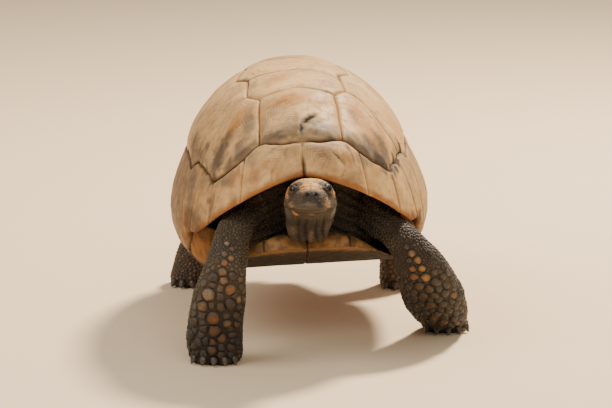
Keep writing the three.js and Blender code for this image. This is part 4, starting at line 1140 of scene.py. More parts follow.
# The throat hangs in upright folds, with a loose flap at its right side.
throat = smooth(-y, 196, 212) * (1 - smooth(z, 150, 166)) * (part == 0)
for off, deep, wide in ((-12.5, 2.6, 1.5), (-5, 2.2, 1.8), (5.5, 1.8, 1.2), (12.5, 2.4, 1.5)):
    lift -= throat * deep * np.exp(-((x - HEAD_X - off + 0.8 * np.sin(z * 0.35)) / wide) ** 2)
lift += throat * 4.2 * np.exp(-((x - HEAD_X + 18) / 4.5) ** 2) * smooth(z, 130, 146)
points = points + outward * lift[:, None]
hang = (part == 0) * smooth(-y, 196, 212) * (1 - smooth(-y, 232, 252)) * (1 - smooth(z, 136, 158))
aside = (x - HEAD_X + 1) / 14
points[:, 2] -= 8 * hang * (1 + 0.5 * aside ** 2) * np.exp(-(aside / 1.35) ** 6)
points += outward * (2.2 * spot(points, (HEAD_X + 1.3, -284, 193), (12, 9, 8)))[:, None]
shape(skin, points)

# The mouth: a fine line low on the face, with the lower jaw tucked in behind the upper.
points, outward = points_of(skin), normals_of(skin)
x, y, z = points.T
mouth_z = MOUTH_FRONT[1] + (MOUTH_FRONT[0] - y) * MOUTH_SLOPE
mouth_z = mouth_z - 1.0 * smooth(-y, 256, 244) * smooth(y, -262, -244)
jaw = smooth(-y, -MOUTH_CORNER - 3, -MOUTH_CORNER + 4) * (part == 0)
lift = -jaw * 1.5 * np.exp(-((z - mouth_z) / 0.7) ** 2)
lift -= jaw * 1.0 * smooth(mouth_z - z, 0, 1.5) * (1 - smooth(mouth_z - z, 5, 12))
lift += 0.8 * head_share * np.exp(-((z - mouth_z - 3) / 2.2) ** 2) * jaw
# The ear is a smooth shallow disc behind the corner of the mouth.
for side in (-1, 1):
    ear = np.linalg.norm((points - (HEAD_X + side * 24, -234, 179)) / (9, 5.2, 4.2), axis=1)
    lift += head_share * (-0.8 * np.exp(-((ear - 1) / 0.16) ** 2) - 0.3 * (1 - smooth(ear, 0.7, 1)))
    # Small hollows of the temple and below the eye, and the raised brow.
    lift -= 1.2 * spot(points, (HEAD_X + side * 20, -270, 180), (9, 8, 5))
    lift += 1.3 * spot(points, (HEAD_X + side * 13, -258, 198), (7, 11, 6))
    lift += 0.9 * spot(points, (HEAD_X + side * 23, -246, 172), (8, 11, 7))
lift += head_share * (0.22 * waves(points, 7.0, 3, 26) + 0.1 * waves(points, 2.2, 2, 27))
# Nostrils: two round pits side by side on the front of the nose, each with a low rim.
off = to_nostril(points)
lift += head_share * (0.4 * np.exp(-((off - 2.3) / 0.7) ** 2)
                      - 1.8 * (1 - smooth(off, 0.6, 1.9))) * (y < -265)
shape(skin, points + outward * lift[:, None])


def eye_axes(side):
    """The way an eye looks, and the level and rising directions across it."""
    ahead = np.array((side * 0.80, -0.56, 0.20))
    ahead /= np.linalg.norm(ahead)
    level = np.cross((0, 0, 1), ahead)
    level /= np.linalg.norm(level)
    return ahead, level, np.cross(ahead, level)


# The eyes sit in openings between two lids. Round the ball the hide follows it, stands up at the
# edge of the lid and folds once before it runs out into the brow and the cheek.
points = points_of(skin)
for centre, side in ((EYE_RIGHT, -1), (EYE_LEFT, 1)):
    off = points - np.array(centre)
    far = np.linalg.norm(off, axis=1)
    ahead, level, rising = eye_axes(side)
    across, up, out = off @ level, off @ rising, off @ ahead
    widest = np.hypot(across, up) + 1e-9
    angle = np.degrees(np.arctan2(widest, out))
    oval = np.hypot(across / widest / 47, up / widest / np.where(up > 0, 31, 35)) * angle
    ball = EYE_RADIUS + np.interp(oval, [0, 0.86, 1.0, 1.12, 1.3, 1.5, 1.75, 2.1],
                                  [-1.6, -1.5, 0.25, 0.85, 1.05, 0.6, 1.1, 1.2])
    hold = (1 - smooth(oval, 1.35, 2.1)) * (far < 16)
    near = np.maximum(ball, np.where(oval > 1.4, np.minimum(far, ball + 1.5), 0))
    points += off / far[:, None] * ((near - far) * hold)[:, None]
shape(skin, points)
points = relaxed(skin, points, 1, 0.35 * on_face(points, None)[:, None])

# The soles are pressed flat on the floor.
low = (1 - smooth(points[:, 2], 0, 9)) * (part >= 2)
points[:, 2] = np.maximum(points[:, 2] - 1.3 * low, 0.25)
shape(skin, points)
bpy.ops.object.shade_smooth()


def srgb(red, green, blue):
    """A colour as it looks, on a scale of 0 to 255, turned to the light it gives back."""
    return np.array([(c / 12.92 if c <= 0.04045 else ((c + 0.055) / 1.055) ** 2.4)
                     for c in (red / 255, green / 255, blue / 255)])


# Soft patches of colour on hide and scales alike: [place, radius, colour, strength]
PATCHES = [
    ((HEAD_X, -252, 200), (17, 38, 19), (230, 166, 88), 1.0),
    ((HEAD_X + 2, -256, 199), (11, 18, 6), (238, 188, 118), 0.6),
    ((HEAD_X - 9, -262, 197), (6, 9, 6), (222, 150, 78), 0.8),
    ((HEAD_X - 23, -246, 188), (9, 21, 10), (236, 150, 66), 1.0),
    ((HEAD_X + 23, -242, 188), (9, 17, 9), (218, 150, 78), 0.95),
    ((HEAD_X - 24, -226, 176), (8, 9, 10), (150, 138, 120), 0.5),
    ((HEAD_X + 24, -236, 168), (9, 12, 14), (140, 136, 126), 0.7),
    ((HEAD_X - 24, -240, 164), (9, 12, 10), (104, 98, 86), 0.6),
    ((HEAD_X - 15, -264, 181), (8, 11, 4.5), (66, 60, 53), 0.8),
    ((HEAD_X - 15, -266, 176.5), (9, 10, 3), (160, 126, 74), 0.85),
    ((HEAD_X + 1.3, -287, 189.5), (13, 12, 8), (44, 40, 38), 1.0),
    ((HEAD_X - 17, -263, 165), (6.5, 9, 5), (216, 150, 88), 0.95),
    ((HEAD_X + 1, -286, 168.5), (5, 8, 3.6), (196, 140, 98), 0.8),
    ((HEAD_X + 17, -274, 180), (6, 10, 7), (170, 136, 84), 0.8),
    ((HEAD_X + 0.5, -290, 181.5), (7, 8, 4.5), (92, 78, 68), 0.85),
    ((HEAD_X + 9, -286, 181), (3.4, 6, 4), (30, 24, 20), 0.95),
    ((HEAD_X - 17, -222, 148), (7, 16, 14), (116, 94, 76), 0.8),
    ((HEAD_X + 17, -222, 150), (5, 16, 12), (84, 64, 50), 0.7),
    ((HEAD_X + 0.5, -222, 138), (3, 20, 13), (110, 84, 64), 0.9),
    ((-70, -215, 115), (12, 14, 22), (86, 84, 84), 0.5),
    # Painted light: a lighter grey-brown on the outer side of the right foreleg, where light falls on it.
    ((-97, -200, 45), (14, 24, 26), (118, 112, 104), 0.5),
    ((-106, 130, 50), (22, 22, 18), (132, 100, 66), 0.45),
    ((150, -120, 80), (16, 30, 26), (112, 100, 88), 0.55),
    ((104, -138, 60), (4, 14, 10), (150, 92, 42), 0.6),
]


# The hide's colour: mostly its own markings, with some painted light and painted shade, as marked below.
def markings_and_painted_light(points, part):
    x, y, z = points.T
    ragged = waves(points, 5.0, 3, 31)
    broad = waves(points, 16.0, 3, 32)
    colour = np.broadcast_to(srgb(50, 40, 30), points.shape).copy()
    neck = (part == 0) * (1 - smooth(-y, 200, 216))
    colour = mix(colour, srgb(44, 35, 27), neck[:, None])
    colour = mix(colour, srgb(74, 64, 54), (0.6 * (part >= 2) * smooth(broad, -0.2, 0.4))[:, None])
    # Painted light: the upper, outer side of the right foreleg is lighter, where light falls on it.
    colour = mix(colour, srgb(92, 76, 57), (0.75 * (part == 2) * smooth(z - 0.8 * (x + 83), 30, 80))[:,
            None])
    colour = mix(colour, srgb(98, 74, 52), (0.6 * (part > 3))[:, None])
    head = (smooth(-y, 206, 220) * (part == 0))[:, None]
    colour = mix(colour, srgb(78, 60, 38), head)
    # The throat under the head is near black: partly its own darker hide and partly painted shade.
    throat = head[:, 0] * (1 - smooth(z + 4 * ragged, 152, 166) * smooth(-y, 214, 236))
    colour = mix(colour, srgb(21, 14, 9), (throat * (1 - smooth(-y, 262, 275)))[:, None])
    jaw_line = MOUTH_FRONT[1] + (MOUTH_FRONT[0] - y) * MOUTH_SLOPE
    colour = mix(colour, srgb(50, 36, 23), (head[:, 0] * 0.75 * smooth(jaw_line - z, 0, 3) * smooth(z, 156,
            164))[:, None])
    for middle, radius, tint, strength in PATCHES:
        off = np.linalg.norm((points - np.array(middle)) / np.array(radius), axis=1) + 0.22 * ragged
        colour = mix(colour, srgb(*tint), (strength * (1 - smooth(off, 0.55, 1.1)))[:, None])
    # Painted shade in the creases between the throat's folds.
    folds = np.exp(-((x - HEAD_X + 6) / 3) ** 4) + np.exp(-((x - HEAD_X - 9) / 4.5) ** 4)
    colour = colour * (1 - 0.6 * folds * throat * (1 - smooth(z, 148, 160)))[:, None]
    # Painted shade: the forelegs are darkened towards the floor.
    low = (part >= 2) * (part < 4) * (1 - smooth(z, 35, 95))
    colour = colour * (1 - 0.72 * low)[:, None]
    for eye in (EYE_LEFT, EYE_RIGHT):
        off = np.linalg.norm((points - np.array(eye) - (0, 0, 0.8)) / (1, 1, 1.12), axis=1)
        colour = mix(colour, srgb(46, 47, 50), (0.95 * head[:, 0] * (1
                - smooth(off + ragged, 8.2, 10.0)))[:, None])
    # Painted shade: the nostril pits are coloured near black.
    pit = (1 - smooth(to_nostril(points), 1.5, 2.1)) * (y < -265)
    colour = mix(colour, srgb(10, 8, 7), (head[:, 0] * pit)[:, None])
    return colour * (1 + 0.16 * ragged + 0.14 * broad)[:, None]


store(skin, "tone", np.clip(markings_and_painted_light(points, part), 0, 1))

hide, tree, look, place = finish("hide")
tone = read(tree, "tone").outputs["Color"]
pebbles = node(tree, "ShaderNodeTexVoronoi", {"feature": "DISTANCE_TO_EDGE"}, Vector=place, Scale=850.0)
pebble = ramp(tree, pebbles.outputs["Distance"], 0.0, 0.25)
mottle = cloud(tree, place, 260.0, 0.3, 0.7, 6.0)
colour = blend(tree, 0.75, tone, (0.028, 0.019, 0.012, 1))
colour = tinted(tree, colour, pebble, 0.55, tone)
colour = tinted(tree, colour, mottle, 0.35, (0.02, 0.014, 0.01, 1))
link(tree, colour, look.inputs["Base Color"])
wrinkles = node(tree, "ShaderNodeTexNoise", Vector=place, Scale=320.0, Detail=5.0, Roughness=0.65,
                Distortion=1.2)
height = plus(tree, pebble, times(tree, wrinkles.outputs["Fac"], 0.8))
bumped(tree, look, height, 0.6, 0.0004)
rough = ramp(tree, mottle, 0.0, 1.0, 0.5, 0.72)
link(tree, rough, look.inputs["Roughness"])
look.inputs["Specular IOR Level"].default_value = 0.35
skin.data.materials.append(hide)
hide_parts("trunk", "neck", "head", "tail", *LIMBS)
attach(skin, "root")

# ---------------------------------------------------------------- eyes
# Each eye is a dark, wet ball with a clear swelling in front. The iris is a brown that barely shows
# round a black pupil. It sits back between the lids.
eye_look, tree, look, place = finish("eye_look")
off_axis = read(tree, "off_axis").outputs["Fac"]
fibres = node(tree, "ShaderNodeTexNoise", Vector=place, Scale=900.0, Detail=4.0)
iris = blend(tree, fibres.outputs["Fac"], (0.018, 0.009, 0.004, 1), (0.055, 0.028, 0.012, 1))
limbus = ramp(tree, off_axis, 30.0, 37.0)
pupil = ramp(tree, off_axis, 20.0, 22.0)
colour = blend(tree, pupil, (0.002, 0.002, 0.002, 1), iris)
link(tree, blend(tree, limbus, colour, (0.012, 0.008, 0.006, 1)), look.inputs["Base Color"])
look.inputs["Roughness"].default_value = 0.12
look.inputs["Specular IOR Level"].default_value = 0.15
look.inputs["Coat Weight"].default_value = 0.35
look.inputs["Coat Roughness"].default_value = 0.02
for name, centre, side in (("eye_right", EYE_RIGHT, -1), ("eye_left", EYE_LEFT, 1)):
    ahead, level, rising = eye_axes(side)
    polar = np.linspace(0, math.pi, 33)[:, None]
    round_it = np.linspace(0, 2 * math.pi, 48, endpoint=False)[None]
    swollen = EYE_RADIUS - 0.15 + 0.35 * (1 - smooth(np.degrees(polar), 18, 44))
    ball = (np.cos(polar)[..., None] * ahead + np.sin(polar)[..., None]
            * (np.cos(round_it)[..., None] * level + np.sin(round_it)[..., None] * rising))
    eye = ringed(name + "_ball", in_place(np.array(centre) + ball * swollen[..., None]),
                 off_axis=np.degrees(polar) + 0 * round_it)
    bpy.ops.object.shade_smooth()
    eye.data.materials.append(eye_look)
    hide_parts(name)
    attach(eye, "root")

# ---------------------------------------------------------------- beak
# Two sheaths of grey horn cover the edges of the jaws. The upper one is deeper in front and closes
# over the lower one; its cutting edge is worn pale. Both are laid over the hide and held by it.
hide_tree = BVHTree.FromObject(skin, bpy.context.evaluated_depsgraph_get())
beak_horn, tree, look, place = finish("beak_horn")
upright = node(tree, "ShaderNodeMapping", {"vector_type": "POINT"}, Vector=place,
               Scale=(1, 1, 0.15)).outputs[0]
streaks = node(tree, "ShaderNodeTexNoise", Vector=upright, Scale=700.0, Detail=5.0,
               Roughness=0.6).outputs["Fac"]
blotch = cloud(tree, place, 170.0, 0.35, 0.65, 5.0)
colour = blend(tree, times(tree, blotch, 0.55), read(tree, "tone").outputs["Color"],
               (0.035, 0.026, 0.018, 1))
colour = tinted(tree, colour, streaks, 0.6, (0.015, 0.011, 0.008, 1))
colour = blend(tree, read(tree, "wear").outputs["Fac"], colour, (0.45, 0.34, 0.17, 1))
link(tree, colour, look.inputs["Base Color"])
link(tree, ramp(tree, streaks, 0.0, 1.0, 0.42, 0.62), look.inputs["Roughness"])
height = plus(tree, streaks, times(tree, blotch, 0.4))
bumped(tree, look, height, 0.4, 0.0003)


JAW_MIDDLE = -265              # where the jaws turn about, along the head
JAW_REACH = 21


def sheath(name, replaced, reach, top, foot, lift, outline_wear):
    """Rows run round the jaw from corner to corner; each is a closed ring, outside down and inside up."""
    rows = 96
    angle = np.linspace(-reach, reach, rows)[:, None]
    end = 1 - (np.abs(angle) / reach) ** 4
    share = np.array([0, 0.04, 0.1, 0.2, 0.35, 0.5, 0.65, 0.8, 0.9, 0.96, 1.0])[None]
    high = mix(top(np.abs(angle)), foot(np.abs(angle)), share) * mix(0.35, 1, end)
    rings = np.zeros((rows, share.size * 2, 3))
    way = np.stack([np.sin(np.radians(angle)), -np.cos(np.radians(angle)), 0 * angle], -1)[:, 0]
    for r in range(rows):
        middle = np.array((HEAD_X + 1, JAW_MIDDLE, 0))
        for c in range(share.size):
            level = MOUTH_FRONT[1] + high[r, c]
            sample = max(level, MOUTH_FRONT[1] + 2.6) if top(0) > 2 else min(level, MOUTH_FRONT[1] - 2.6)
            start = in_place(middle + (0, 0, sample + slope_at(way[r])))
            hit = hide_tree.ray_cast(Vector(start) + Vector(way[r]) * 0.06, -Vector(way[r]))[0]
            out = np.linalg.norm((in_mm(hit) - middle)[:2])
            on = middle + way[r] * (out + lift(share[0, c]) * mix(0.2, 1, end[r, 0])) + (0, 0,
                    level + slope_at(way[r]))
            inner = middle + way[r] * (out - 2.2) + (0, 0, level + slope_at(way[r]))
            rings[r, c] = on
            rings[r, 2 * share.size - 1 - c] = inner
    wear = outline_wear(share, angle)
    wear = np.concatenate([wear, wear[:, ::-1]], 1)
    rings = closed(rings)
    flat = rings.reshape(-1, 3)
    tone = markings_and_painted_light(flat, np.zeros(len(flat), int)).reshape(rings.shape)
    shaded = mix(0.06, 1, smooth(share, 0.15, 0.5)) if top(0) < 2 else np.ones(share.shape)
    tone = np.clip(tone * np.concatenate([shaded, shaded[:, ::-1]], 1)[..., None], 0, 1)
    piece = ringed(name, in_place(rings), tone=tone, wear=np.pad(wear, ((1, 1), (0, 0)), "edge"))
    piece.data.materials.append(beak_horn)
    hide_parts(replaced)
    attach(piece, "root")


# How much lower the mouth lies than at its front, in some direction out from the middle of the jaw.
def slope_at(way):
    return MOUTH_SLOPE * (MOUTH_FRONT[0] - (JAW_MIDDLE + JAW_REACH * way[1]))


sheath("upper_beak", "beak_upper", 112, curve((0, 6.2), (20, 5.4), (40, 4.2), (70, 3.0), (112, 2.2)),
       curve((0, -1.1), (12, -0.5), (30, -0.15), (112, 0)),
       curve((0, -0.5), (0.12, 0.1), (0.6, 0.5), (0.93, 0.65), (1, 0.2)),
       lambda share, angle: 0.32 * smooth(share, 0.9, 0.98) * mix(0.05, 1, smooth(-angle, -5, 25)))
sheath("lower_beak", "beak_lower", 108, curve((0, -0.6), (30, -0.3), (108, -0.2)),
       curve((0, -4.6), (40, -3.5), (108, -2.4)),
       curve((0, -0.5), (0.1, 0.1), (0.5, 0.4), (0.9, 0.35), (1, 0.05)),
       lambda share, angle: 0.08 * (1 - smooth(share, 0.05, 0.3)) + 0 * angle)

# ---------------------------------------------------------------- scales
# Horny scales stand over the hide: broad smooth shields on the crown, small ones round the eyes and
# on the neck, and overlapping ones down the legs, with big domed studs on the front of the forelegs.
# Each is a thin closed cap whose outline fits between its neighbours, and whose free edge points away
# from the body. They are laid out together and joined into one piece for each leg, head, neck and tail.
CLOSE_SET = 0.43               # how near two scales may stand, as a share of their sizes together
PALE, TAN, GOLD, ORANGE, RUST, ASH = ((176, 146, 114), (158, 114, 72), (184, 134, 62), (172, 104, 38),
                                      (98, 61, 30),
                                      (68, 57, 45))
# Studs on the front of the forelegs: [x, height, width, colour of the middle]
STUDS = {
    "foreleg_right": [
        (-88, 77, 12.5, PALE), (-67, 82, 10, ORANGE), (-94, 64, 10.5, TAN), (-67, 67, 10, ASH),
        (-84, 52, 12.5, ORANGE),
        (-83, 38, 11.5, ORANGE), (-103, 46, 9, RUST), (-107, 32, 9.5, ASH), (-76, 30, 8.5, GOLD),
        (-85, 17, 9, ORANGE),
        (-85, 25.5, 6.5, ORANGE), (-70, 46, 7.5, GOLD), (-61, 54, 6.5, RUST), (-61, 44, 6, ORANGE),
        (-103, 20, 7, RUST),
        (-77, 12, 7.5, RUST), (-94, 12, 7.5, ASH), (-73, 91, 8, TAN), (-83, 94, 8.5, ASH),
        (-64, 96, 7.5, ASH),
        (-74, 100, 8, TAN), (-65, 103.5, 7.5, PALE), (-81, 103, 7, ASH), (-72, 109, 6.5, ORANGE),
        (-79, 111, 5.5, RUST),
        (-66, 113, 7, GOLD), (-72, 117, 6.5, TAN), (-65, 121, 5.5, TAN), (-70, 125.5, 6.5, PALE),
        (-77, 119, 5, ASH),
        (-96, 77, 7, ASH), (-76, 64, 8, RUST), (-93, 40, 7.5, RUST), (-92, 27, 7, ASH),
        (-67, 20, 7.5, RUST),
        (-66, 33, 7, RUST), (-77, 75, 7, ASH)],
    "foreleg_left": [
        (108, 114, 6.5, ASH), (114, 107, 8.5, TAN), (120, 100, 8.5, GOLD), (115, 90.5, 8.5, ORANGE),
        (124.5, 91, 9, GOLD),
        (116.5, 81, 9, ORANGE), (128, 81, 10, GOLD), (139, 74, 10, ASH), (122, 70, 9, RUST),
        (133, 66, 9, RUST),
        (111, 99, 6, ASH), (107, 106, 6, ASH), (127, 57, 9, RUST), (138, 58, 9, RUST), (148, 60, 8.5, ASH),
        (124, 45, 8.5, RUST), (135, 46, 9, ORANGE), (147, 46, 9, RUST), (130, 34, 8.5, RUST),
        (142, 33, 9, ORANGE),
        (154, 36, 8, ASH), (137, 22, 8.5, RUST), (149, 20, 8.5, ORANGE), (160, 24, 7.5, RUST),
        (147, 10, 7.5, ORANGE),
        (158, 12, 7.5, RUST), (131, 95, 6.5, ASH), (137, 86, 7, ASH), (146, 80, 7, ASH)],
}


# Shields of the crown, in pairs but for the first: [distance from the middle line, y, width]
SHIELDS = [(0, -246, 15), (5.0, -262.5, 9.5), (3.4, -272, 6.4), (12.5, -248, 7.5), (8.6, -233.5, 10.5),
           (10.2, -263.5, 5),
           (0, -231, 8), (0, -255.8, 5.5), (15.8, -238, 7), (12.6, -257, 5.2)]


def scale_size(p, n, part, along):
    x, y, z = p.T
    size = np.full(len(p), 3.6)
    neck = part == 0
    size = np.where(neck, 2.7, size)
    head = neck & (y < -208)
    eye = to_eye(p)
    crown = smooth(z, 190, 194) * (1 - smooth(-y, 266, 274))
    face = mix(mix(2.9, 3.8, smooth(-y, 262, 225)), 6.0, crown)
    face = np.where((z < 163) & (y > -262), 2.4, face)
    face = mix(1.75, face, smooth(eye, 9.5, 13.5))
    face = np.where(y < -276, np.minimum(face, 2.3), face)
    size = np.where(head, face, size)
    fore = (part == 2) | (part == 3)
    ahead = smooth(-n[:, 1] - 0.35 * np.maximum(0, n[:, 2]) + 0.3 * n[:, 0] * np.sign(x) * (z < 60), 0.15,
                   0.75)
    size = np.where(fore, mix(3.0, 8.2, ahead * smooth(along, 118, 146)), size)
    size = np.where(part > 3, mix(3.3, 5.2, smooth(along, 45, 110) * smooth(-n[:, 2], -0.4, 0.3)), size)
    size = np.where(part == 1, 3.2, size)
    return np.where((part >= 2) & (n[:, 2] < -0.75) & (z < 8), 4.2, size)


skin.data.calc_loop_triangles()
corners = values_of(skin.data.loop_triangles, "vertices", 3, int)
skin_points, skin_normals = points_of(skin), normals_of(skin)
one, two, three = (skin_points[corners[:, k]] for k in range(3))
facing = np.cross(two - one, three - one)
area = np.linalg.norm(facing, axis=1) / 2
facing /= np.maximum(1e-12, 2 * area)[:, None]
middle = (one + two + three) / 3
tri_part, tri_along = belonging(middle)[:2]
near_socket = to_eye(middle) < EYE_RADIUS + 0.75
bare = near_socket | ((to_nostril(middle) < 2.6) & (middle[:, 1] < -265)) | covered(middle, facing)
size = scale_size(middle, facing, tri_part, tri_along)
chance = np.random.default_rng(7)
wanted = np.where(bare, 0, area / size ** 2 * 11)
chosen = np.repeat(np.arange(len(corners)), chance.poisson(wanted))
chosen = chosen[chance.permutation(len(chosen))]
a, b = chance.random((2, len(chosen), 1))
a, b = np.where(a + b > 1, 1 - a, a), np.where(a + b > 1, 1 - b, b)
candidates = one[chosen] + a * (two - one)[chosen] + b * (three - one)[chosen]
candidate_size = size[chosen] * chance.uniform(0.82, 1.15, len(chosen))
candidate_normal = sum(skin_normals[corners[chosen, k]] * w for k, w in enumerate((1 - a - b, a, b)))

stud_places, stud_sizes, stud_normals, stud_tints = [], [], [], []
for leg, studs in STUDS.items():
    for x, z, wide, tint in studs:
        hit, normal, _, _ = hide_tree.ray_cast(standing(x, -400, z), Vector((0, 1, 0)))
        if hit is not None:
            stud_places.append(in_mm(hit))
            stud_sizes.append(wide * 1.2)
            stud_normals.append(np.array(normal))
            stud_tints.append(srgb(*tint))
shield_places, shield_sizes, shield_normals = [], [], []
for aside, y, wide in SHIELDS:
    for side in (-1, 1)[aside == 0:]:
        hit, normal, _, _ = hide_tree.ray_cast(standing(HEAD_X + side * aside, y, 240), Vector((0, 0, -1)))
        shield_places.append(in_mm(hit))
        shield_sizes.append(wide)
        shield_normals.append(np.array(normal))
places = np.concatenate([stud_places, shield_places, candidates])
sizes = np.concatenate([stud_sizes, shield_sizes, candidate_size])
ups = np.concatenate([stud_normals, shield_normals, candidate_normal])
ups /= np.linalg.norm(ups, axis=1, keepdims=True)


def sown(places, sizes, ups):
    """Takes places in turn and drops those that stand too close to one already taken."""
    tree = KDTree(len(places))
    for i, p in enumerate(places):
        tree.insert(p, i)
    tree.balance()
    dropped = np.zeros(len(places), bool)
    kept = []
    for i, p in enumerate(places):
        if dropped[i]:
            continue
        kept.append(i)
        size = sizes[i]
        for _, j, far in tree.find_range(p, CLOSE_SET * (size * 2.7 + 1)):
            if j > i and far < CLOSE_SET * (size + sizes[j]) and ups[i] @ ups[j] > 0:
                dropped[j] = True
    return np.array(kept)


kept = sown(places, sizes, ups)
stud = kept < len(stud_places)
places, sizes, ups = places[kept], sizes[kept], ups[kept]
part, along, way, turn = belonging(places)
free = way - ups * (way * ups).sum(1, keepdims=True) + 1e-6
free /= np.linalg.norm(free, axis=1, keepdims=True)
cross = np.cross(ups, free)

# The border with each neighbour, in the plane of the scale: how far off it is and in which direction.
NEIGHBOURS = 12
seeds = KDTree(len(places))
for i, p in enumerate(places):
    seeds.insert(p, i)
seeds.balance()
around = np.array([[j for _, j, _ in seeds.find_n(p, NEIGHBOURS + 1)][1:] for p in places])
off = places[around] - places[:, None]
far = np.linalg.norm(off, axis=2)
bearing = np.arctan2((off * cross[:, None]).sum(2), (off * free[:, None]).sum(2))
border = (far ** 2 + (sizes[:, None] / 2) ** 2 - (sizes[around] / 2) ** 2) / (2 * far)
border = np.clip(border, 0.25 * far, 0.75 * far)
border[(ups[around] * ups[:, None]).sum(2) < 0.2] = 99

legs = part >= 2
head = (part == 0) & (places[:, 1] < -208)
crown = head & (sizes > 4.4)
thick = np.select([stud, crown, head, legs, part == 1],
                  [0.22 * sizes + 0.5, 0.24 + 0 * sizes, 0.035 * sizes + 0.08,
                                                        0.15 * sizes + 0.3, 0.1 * sizes + 0.25],
                                                        0.07 * sizes + 0.2)
tilt = np.select([stud, head, legs], [0.25, 0.05, 0.75], 0.4)
reach = np.select([stud, head, legs], [0.05, 0.0, 0.3], 0.15)
hide_tone = markings_and_painted_light(places, part)
random_tone = chance.uniform(0.78, 1.18, (len(places), 1)) ** np.where(head, 0.5, 1)[:, None]
edge_tone = hide_tone * random_tone
heart_tone = edge_tone * np.where(head, 1.06, 1.1)[:, None]
gilt = legs & (sizes > 3.4) & (places[:, 2] < 90) & (chance.random(len(places)) < np.where(part < 4, 0.10,
        0.22))
gilt_tone = mix(srgb(*RUST), srgb(*GOLD), chance.random((len(places), 1)))
heart_tone = np.where(gilt[:, None], mix(heart_tone, gilt_tone,
                                         chance.uniform(0.15, 0.6, (len(places), 1))), heart_tone)
# Painted shade: the studs are darker low on the forelegs, the left one most.
low_stud_shade = np.where(part[stud] == 3, 0.34, 0.48)
heart_tone[stud] = (np.array(stud_tints)[kept[stud]] * chance.uniform(0.5, 0.72, (stud.sum(), 1))
                    * mix(low_stud_shade, 1, smooth(places[stud, 2], 45, 72))[:, None])
edge_tone[stud] = mix(edge_tone[stud], heart_tone[stud], 0.12)


# Rings of each cap from its sunk outline in to its middle: [share of the way out, height, how far it
# has gone over from the colour of the edge to that of the middle]
CAP_KINDS = [  # largest size, points round, rings
    (2.6, 7, [(1, None, 0), (0.8, 0.7, 0.4), (0, 1, 1)]),
    (4.2, 9, [(1, None, 0), (0.9, 0.5, 0.1), (0.52, 0.92, 0.75), (0, 1, 1)]),
    (7.0, 12, [(1, None, 0), (0.93, 0.42, 0), (0.72, 0.8, 0.35), (0.36, 0.97, 0.9), (0, 1, 1)]),
    (99, 20, [(1, None, 0), (0.97, 0.25, 0), (0.88, 0.55, 0.06), (0.68, 0.83, 0.42), (0.36, 0.96, 0.9),
              (0, 1, 1)]),
]
SUNK = 0.55
ROUND_CORNERS = 7
GAP = 0.07
LONGEST_LIMB = 260             # the unwrap runs this far along a limb
PATCH_RADIUS = 0.0015          # of one scale on the unwrap


def caps(chosen, round_points, rings):
    """Points, faces and values of all the scales of one kind."""
    n = len(chosen)
    angle = np.linspace(0, 2 * math.pi, round_points, endpoint=False)
    toward = np.cos(angle[None, None] - bearing[chosen][..., None])
    edge = border[chosen][..., None] / np.maximum(toward, 0.05)
    limit = sizes[chosen][:, None] * 0.62
    out = ((edge ** -ROUND_CORNERS).sum(1) + limit ** -ROUND_CORNERS) ** (-1 / ROUND_CORNERS)
    out = out - GAP - 0.02 * sizes[chosen][:, None]
    out = out * (1 + reach[chosen][:, None] * np.maximum(0, np.cos(angle))[None] ** 2)
    flat = np.cos(angle)[None, :, None] * free[chosen][:, None] + np.sin(angle)[None, :,
            None] * cross[chosen][:, None]
    points, tones, edges, patch = [], [], [], []
    root = np.stack([turn[chosen] / (2 * math.pi) + 0.5, along[chosen] / LONGEST_LIMB + 0.01], -1)
    for share, high, heart in rings:
        count = 1 if share == 0 else round_points
        spread = places[chosen][:, None] + (flat * out[..., None] * share)[:, :count]
        found = [hide_tree.find_nearest(Vector(p)) for p in in_place(spread).reshape(-1, 3)]
        ground = in_mm([f[0] for f in found]).reshape(n, count, 3)
        up = mix(np.array([f[1] for f in found]).reshape(n, count, 3), ups[chosen][:, None], 0.5)
        up /= np.linalg.norm(up, axis=2, keepdims=True)
        lean = 1 + tilt[chosen][:, None] * (share * np.cos(angle)[None, :count] + 0.15)
        lift = np.full((n, count), -SUNK) if high is None else high * thick[chosen][:, None] * lean
        points.append(ground + up * lift[..., None])
        tones.append(np.broadcast_to(mix(edge_tone[chosen], heart_tone[chosen], heart)[:, None],
                                     (n, count, 3)))
        edges.append(np.full((n, count), share))
        patch.append(root[:, None] + PATCH_RADIUS * share * np.stack([np.cos(angle), np.sin(angle)],
                -1)[None, :count])
    points, tones = np.concatenate(points, 1), np.concatenate(tones, 1)
    size_each = points.shape[1]
    k = np.arange(round_points)
    beside = (k + 1) % round_points
    full = len(rings) - 1
    quads = np.concatenate([np.stack([r * round_points + k, r * round_points + beside,
                                      (r + 1) * round_points + beside,
                                      (r + 1) * round_points + k], 1) for r in range(full - 1)])
    tips = np.stack([(full - 1) * round_points + k, (full - 1) * round_points + beside,
                     np.full(round_points, full * round_points)], 1)
    start = np.arange(n)[:, None] * size_each
    loops = np.concatenate([(start + quads.ravel()), (start + tips.ravel()), (start + k[::-1])], 1).ravel()
    totals = np.tile(np.concatenate([np.full(len(quads), 4), np.full(len(tips), 3), [round_points]]), n)
    return (points.reshape(-1, 3), loops, totals, tones.reshape(-1, 3), np.concatenate(edges, 1).ravel(),
            np.concatenate(patch, 1).reshape(-1, 2))


